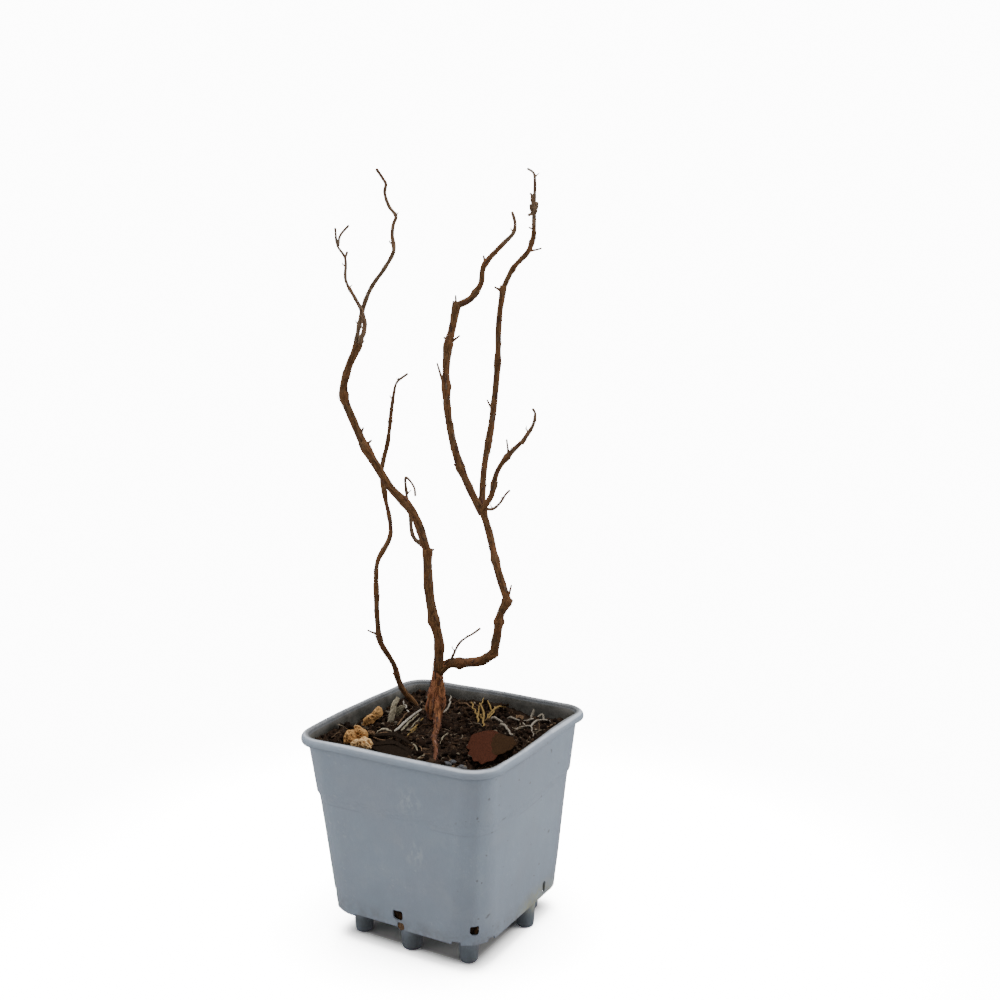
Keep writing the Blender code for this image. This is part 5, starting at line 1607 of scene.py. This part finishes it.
def set_place(item, side, up, back, spot):
    """Turn and place a camera or a light by its own three directions and its spot."""
    columns = np.column_stack([side, up, back, spot])
    item.matrix_world = Matrix([*columns.tolist(), [0, 0, 0, 1]])


def build_camera():
    """The main view: along the depth, tipped down by the pitch and turned by the roll."""
    camera = linked("camera", bpy.data.cameras.new("camera"))
    cos, sin = math.cos(CAMERA_PITCH), math.sin(CAMERA_PITCH)
    right, ahead, up = place([(1, 0, 0), (0, -sin, cos), (0, cos, sin)]) / MM
    cos, sin = math.cos(CAMERA_ROLL), math.sin(CAMERA_ROLL)
    set_place(camera, right * cos + up * sin, up * cos - right * sin, -ahead, place(CAMERA_SPOT))
    camera.data.lens = LENS
    camera.data.sensor_width = SENSOR
    camera.data.sensor_fit = "HORIZONTAL"
    camera.data.shift_x, camera.data.shift_y = LENS_SHIFT
    camera.data.clip_start = 0.01
    camera.data.clip_end = 100.0
    bpy.context.scene.camera = camera


def soft_light(name, spot, size, power):
    """A softbox at a spot on the plant's own scale that faces the middle of the plant."""
    data = bpy.data.lights.new(name, "AREA")
    data.shape = "RECTANGLE"
    data.size, data.size_y = size
    data.energy = power
    spot = place(spot)
    aim = LIGHT_AIM - spot
    aim /= np.linalg.norm(aim)
    side = np.cross(aim, (0.0, 0.0, 1.0) if abs(aim[2]) < 0.95 else (0.0, 1.0, 0.0))
    side /= np.linalg.norm(side)
    set_place(linked(name, data), side, np.cross(side, aim), -aim, spot)


FLOOR_SIDES = 96
FLOOR_RADII = (6.0, 0.3)
FLOOR_DROP = -0.2 * MM
FLOOR_GREY = (0.56, 0.56, 0.56, 1)
SHADE_HALF = 45 * MM            # half width of the shadow painted on the floor under the pot
SHADE_FADE = 23 * MM
SHADE_GAIN = 0.52
SWEEP = (0.10, 0.42)            # how far off the floor begins to glow, and where it only glows


def build_floor(settings):
    """A wide round floor. The camera sees it bright, as an overexposed sweep is, with the pot's own
    shade and, where the gain is lowered round the pot, a painted shadow; far off it glows as the
    background does."""
    turn = np.linspace(0, 2 * np.pi, FLOOR_SIDES, endpoint=False)
    around = np.stack([np.cos(turn), np.sin(turn), 0 * turn], -1)
    points = np.vstack([around * radius for radius in FLOOR_RADII] + [(0, 0, 0)])
    points = points + (0, 0, FLOOR_DROP)
    j = np.arange(FLOOR_SIDES)
    middle = np.full(FLOOR_SIDES, 2 * FLOOR_SIDES)
    fan = np.stack([FLOOR_SIDES + j, FLOOR_SIDES + (j + 1) % FLOOR_SIDES, middle], -1)
    mesh = bpy.data.meshes.new("floor")
    mesh.from_pydata(points, [], grid_faces(2, FLOOR_SIDES).tolist() + fan.tolist())
    mesh.update()
    linked("floor", mesh)
    finish = bpy.data.materials.new("pale_floor")
    finish.use_nodes = True
    nodes = finish.node_tree.nodes
    nodes.remove(nodes["Principled BSDF"])
    web = Web(finish.node_tree)
    seen = web.node("LightPath").outputs["Is Camera Ray"]
    plain = web.node("BsdfDiffuse", {"Color": FLOOR_GREY}).outputs[0]
    outside = web.vector("SUBTRACT", web.vector("ABSOLUTE", web.place()),
                         (SHADE_HALF, SHADE_HALF, 1.0))
    away = web.vector("LENGTH", web.vector("MAXIMUM", outside), output="Value")
    # the gain is low round the pot's footprint: a painted shadow on the floor
    gain = web.step(away, 0.0, SHADE_FADE, SHADE_GAIN, settings.floor_gain)
    warm = web.joined(gain, web.times(gain, 0.99), web.times(gain, 0.97))
    bright = web.node("BsdfDiffuse", {"Color": warm}).outputs[0]
    glow = web.node("Emission", {"Color": WHITE, "Strength": settings.background}).outputs[0]
    sweep = web.node("MixShader", {0: web.step(away, *SWEEP), 1: bright, 2: glow}).outputs[0]
    both = web.node("MixShader", {0: seen, 1: plain, 2: sweep}).outputs[0]
    web.feed(nodes["Material Output"].inputs["Surface"], both)
    mesh.materials.append(finish)


def build_sky(settings):
    """Soft light from everywhere, and a background that the camera sees as near white."""
    world = bpy.data.worlds.new("studio")
    bpy.context.scene.world = world
    world.use_nodes = True
    nodes = world.node_tree.nodes
    web = Web(world.node_tree)
    seen = web.node("LightPath").outputs["Is Camera Ray"]
    soft = nodes["Background"]
    soft.inputs["Color"].default_value = SKY_TINT
    soft.inputs["Strength"].default_value = settings.sky
    glow = {"Color": WHITE, "Strength": settings.background}
    bright = web.node("Background", glow).outputs[0]
    both = web.node("MixShader", {0: seen, 1: soft.outputs[0], 2: bright}).outputs[0]
    web.feed(nodes["World Output"].inputs["Surface"], both)


def build_studio(settings):
    """The stage: camera, softboxes at both sides and overhead, floor and background."""
    build_camera()
    soft_light("softbox_right", (1550, 750, -150), (1.1, 1.5), settings.right_power)
    soft_light("softbox_left", (-1550, 750, -350), (1.1, 1.5), settings.left_power)
    soft_light("softbox_top", (0, 1900, 200), (1.6, 1.6), settings.top_power)
    build_floor(settings)
    build_sky(settings)


def colour_property(name, description, default):
    return FloatVectorProperty(name=name, description=description, default=default, size=3,
                               min=0.0, max=1.0, subtype="COLOR")


def share_property(name, description, default):
    return FloatProperty(name=name, description=description, default=default, min=0.0, max=1.0,
                         subtype="FACTOR")


def count_property(name, description, default):
    return IntProperty(name=name, description=description, default=default, min=0)


def strength_property(name, description, default, **kind):
    return FloatProperty(name=name, description=description, default=default, min=0.0, **kind)


def power_property(name, description, default):
    return strength_property(name, description, default, subtype="POWER", unit="POWER")


class CANE_PG_pot(bpy.types.PropertyGroup):
    colour: colour_property("Plastic", "Colour of the pot's plastic", (0.262, 0.313, 0.380))
    roughness: share_property("Roughness", "How dull the plastic is", 0.48)
    dust: share_property("Dust", "How strongly pale dust shows on the walls", 0.11)
    dirt: share_property("Dirt", "How strongly soil shows near the ground", 0.45)
    stain: share_property("Moss stain", "How strongly the right wall's green stain shows", 0.55)


class CANE_PG_compost(bpy.types.PropertyGroup):
    colour: colour_property("Compost", "Middle colour of the compost", (0.018, 0.010, 0.006))
    crumb_count: count_property("Crumbs", "How many loose crumbs lie on top", 1500)
    fibre_count: count_property("Fibres", "How many straws and rootlets lie on top", 260)
    chip_count: count_property("Chips", "How many flat chips of wood lie on top", 150)


class CANE_PG_bark(bpy.types.PropertyGroup):
    relief: strength_property("Relief", "How deep the bark's furrows are", 0.12 * MM,
                              subtype="DISTANCE", unit="LENGTH", precision=5)
    trunk_dark: colour_property("Trunk, dark", "Between the trunk's fibres", (0.100, 0.036, 0.013))
    trunk_light: colour_property("Trunk, light", "The trunk's fibres", (0.400, 0.168, 0.066))
    trunk_blush: colour_property("Trunk, blush", "The trunk's warm patches", (0.350, 0.126, 0.066))
    cane_dark: colour_property("Canes, dark", "Between the canes' fibres", (0.062, 0.027, 0.009))
    cane_light: colour_property("Canes, light", "The canes' fibres", (0.185, 0.090, 0.034))
    cane_blush: colour_property("Canes, blush", "The canes' warm patches", (0.190, 0.078, 0.030))
    twig_dark: colour_property("Twigs, dark", "Between the twigs' fibres", (0.082, 0.045, 0.023))
    twig_light: colour_property("Twigs, light", "The twigs' fibres", (0.260, 0.165, 0.098))


class CANE_PG_studio(bpy.types.PropertyGroup):
    right_power: power_property("Right light", "Power of the right softbox", 17.0)
    left_power: power_property("Left light", "Power of the left softbox", 11.0)
    top_power: power_property("Top light", "Power of the softbox overhead", 38.0)
    sky: strength_property("Soft light", "Strength of the light from everywhere", 0.40)
    background: strength_property("Background", "How bright the camera sees the background", 12.5)
    floor_gain: strength_property("Floor gain", "How overexposed the camera sees the floor", 13.5)


def prepare_effects():
    """Make the shader groups that the finishes share, once."""
    if "patches" not in bpy.data.node_groups:
        build_patches_group()
        build_fibres_group()
        build_speckle_group()


class CANE_OT_pot(bpy.types.Operator):
    """Build the square pot with its rolled rim, drain holes and feet"""
    bl_idname = "cane.build_pot"
    bl_label = "Pot"

    def execute(self, context):
        prepare_effects()
        build_pot(context.scene.cane_pot)
        build_pot_feet(bpy.data.materials["slate_plastic"])
        return {"FINISHED"}


class CANE_OT_compost(bpy.types.Operator):
    """Build the lumpy compost and its loose crumbs"""
    bl_idname = "cane.build_compost"
    bl_label = "Compost"

    def execute(self, context):
        prepare_effects()
        build_compost(context.scene.cane_compost)
        build_crumbs(context.scene.cane_compost)
        return {"FINISHED"}


class CANE_OT_litter(bpy.types.Operator):
    """Build the bark chips, straw, leaves, moss and roots that lie on the compost"""
    bl_idname = "cane.build_litter"
    bl_label = "Litter"

    def execute(self, context):
        prepare_effects()
        build_litter()
        build_fibres(context.scene.cane_compost)
        return {"FINISHED"}


class CANE_OT_trunk(bpy.types.Operator):
    """Build the trunk, its flare and its long front root"""
    bl_idname = "cane.build_trunk"
    bl_label = "Trunk"

    def execute(self, context):
        prepare_effects()
        build_trunk(context.scene.cane_bark)
        return {"FINISHED"}


class CANE_OT_limbs(bpy.types.Operator):
    """Build the canes and boughs with their nodes and spurs"""
    bl_idname = "cane.build_limbs"
    bl_label = "Canes and boughs"

    def execute(self, context):
        prepare_effects()
        build_limbs(context.scene.cane_bark)
        return {"FINISHED"}


class CANE_OT_twigs(bpy.types.Operator):
    """Build the bare twigs with their side shoots"""
    bl_idname = "cane.build_twigs"
    bl_label = "Twigs"

    def execute(self, context):
        prepare_effects()
        build_twigs(context.scene.cane_bark)
        return {"FINISHED"}


class CANE_OT_flakes(bpy.types.Operator):
    """Build the strips of bark that peel from the trunk and canes"""
    bl_idname = "cane.build_flakes"
    bl_label = "Bark flakes"

    def execute(self, context):
        prepare_effects()
        build_bark_flakes()
        return {"FINISHED"}


class CANE_OT_studio(bpy.types.Operator):
    """Build the camera, lights, floor and background"""
    bl_idname = "cane.build_studio"
    bl_label = "Studio"

    def execute(self, context):
        build_studio(context.scene.cane_studio)
        return {"FINISHED"}


OPERATORS = (CANE_OT_pot, CANE_OT_compost, CANE_OT_litter, CANE_OT_trunk, CANE_OT_limbs,
             CANE_OT_twigs, CANE_OT_flakes, CANE_OT_studio)
SETTINGS = {"cane_pot": CANE_PG_pot, "cane_compost": CANE_PG_compost, "cane_bark": CANE_PG_bark,
            "cane_studio": CANE_PG_studio}


class CANE_PT_panel(bpy.types.Panel):
    """Sizes, colours and buttons of the raspberry cane"""
    bl_idname = "CANE_PT_panel"
    bl_label = "Raspberry cane"
    bl_space_type = "VIEW_3D"
    bl_region_type = "UI"
    bl_category = "Raspberry cane"

    def draw(self, context):
        for label, group in SETTINGS.items():
            box = self.layout.box()
            for name in group.__annotations__:
                box.prop(getattr(context.scene, label), name)
        for operator in OPERATORS:
            self.layout.operator(operator.bl_idname)


def register():
    for item in (*SETTINGS.values(), *OPERATORS, CANE_PT_panel):
        bpy.utils.register_class(item)
    for label, group in SETTINGS.items():
        setattr(bpy.types.Scene, label, PointerProperty(type=group))


def unregister():
    for label in SETTINGS:
        delattr(bpy.types.Scene, label)
    for item in (CANE_PT_panel, *OPERATORS, *SETTINGS.values()):
        bpy.utils.unregister_class(item)


def main():
    register()
    bpy.ops.cane.build_pot()
    bpy.ops.cane.build_compost()
    bpy.ops.cane.build_litter()
    bpy.ops.cane.build_trunk()
    bpy.ops.cane.build_limbs()
    bpy.ops.cane.build_twigs()
    bpy.ops.cane.build_flakes()
    bpy.ops.cane.build_studio()


if __name__ == "__main__":
    main()
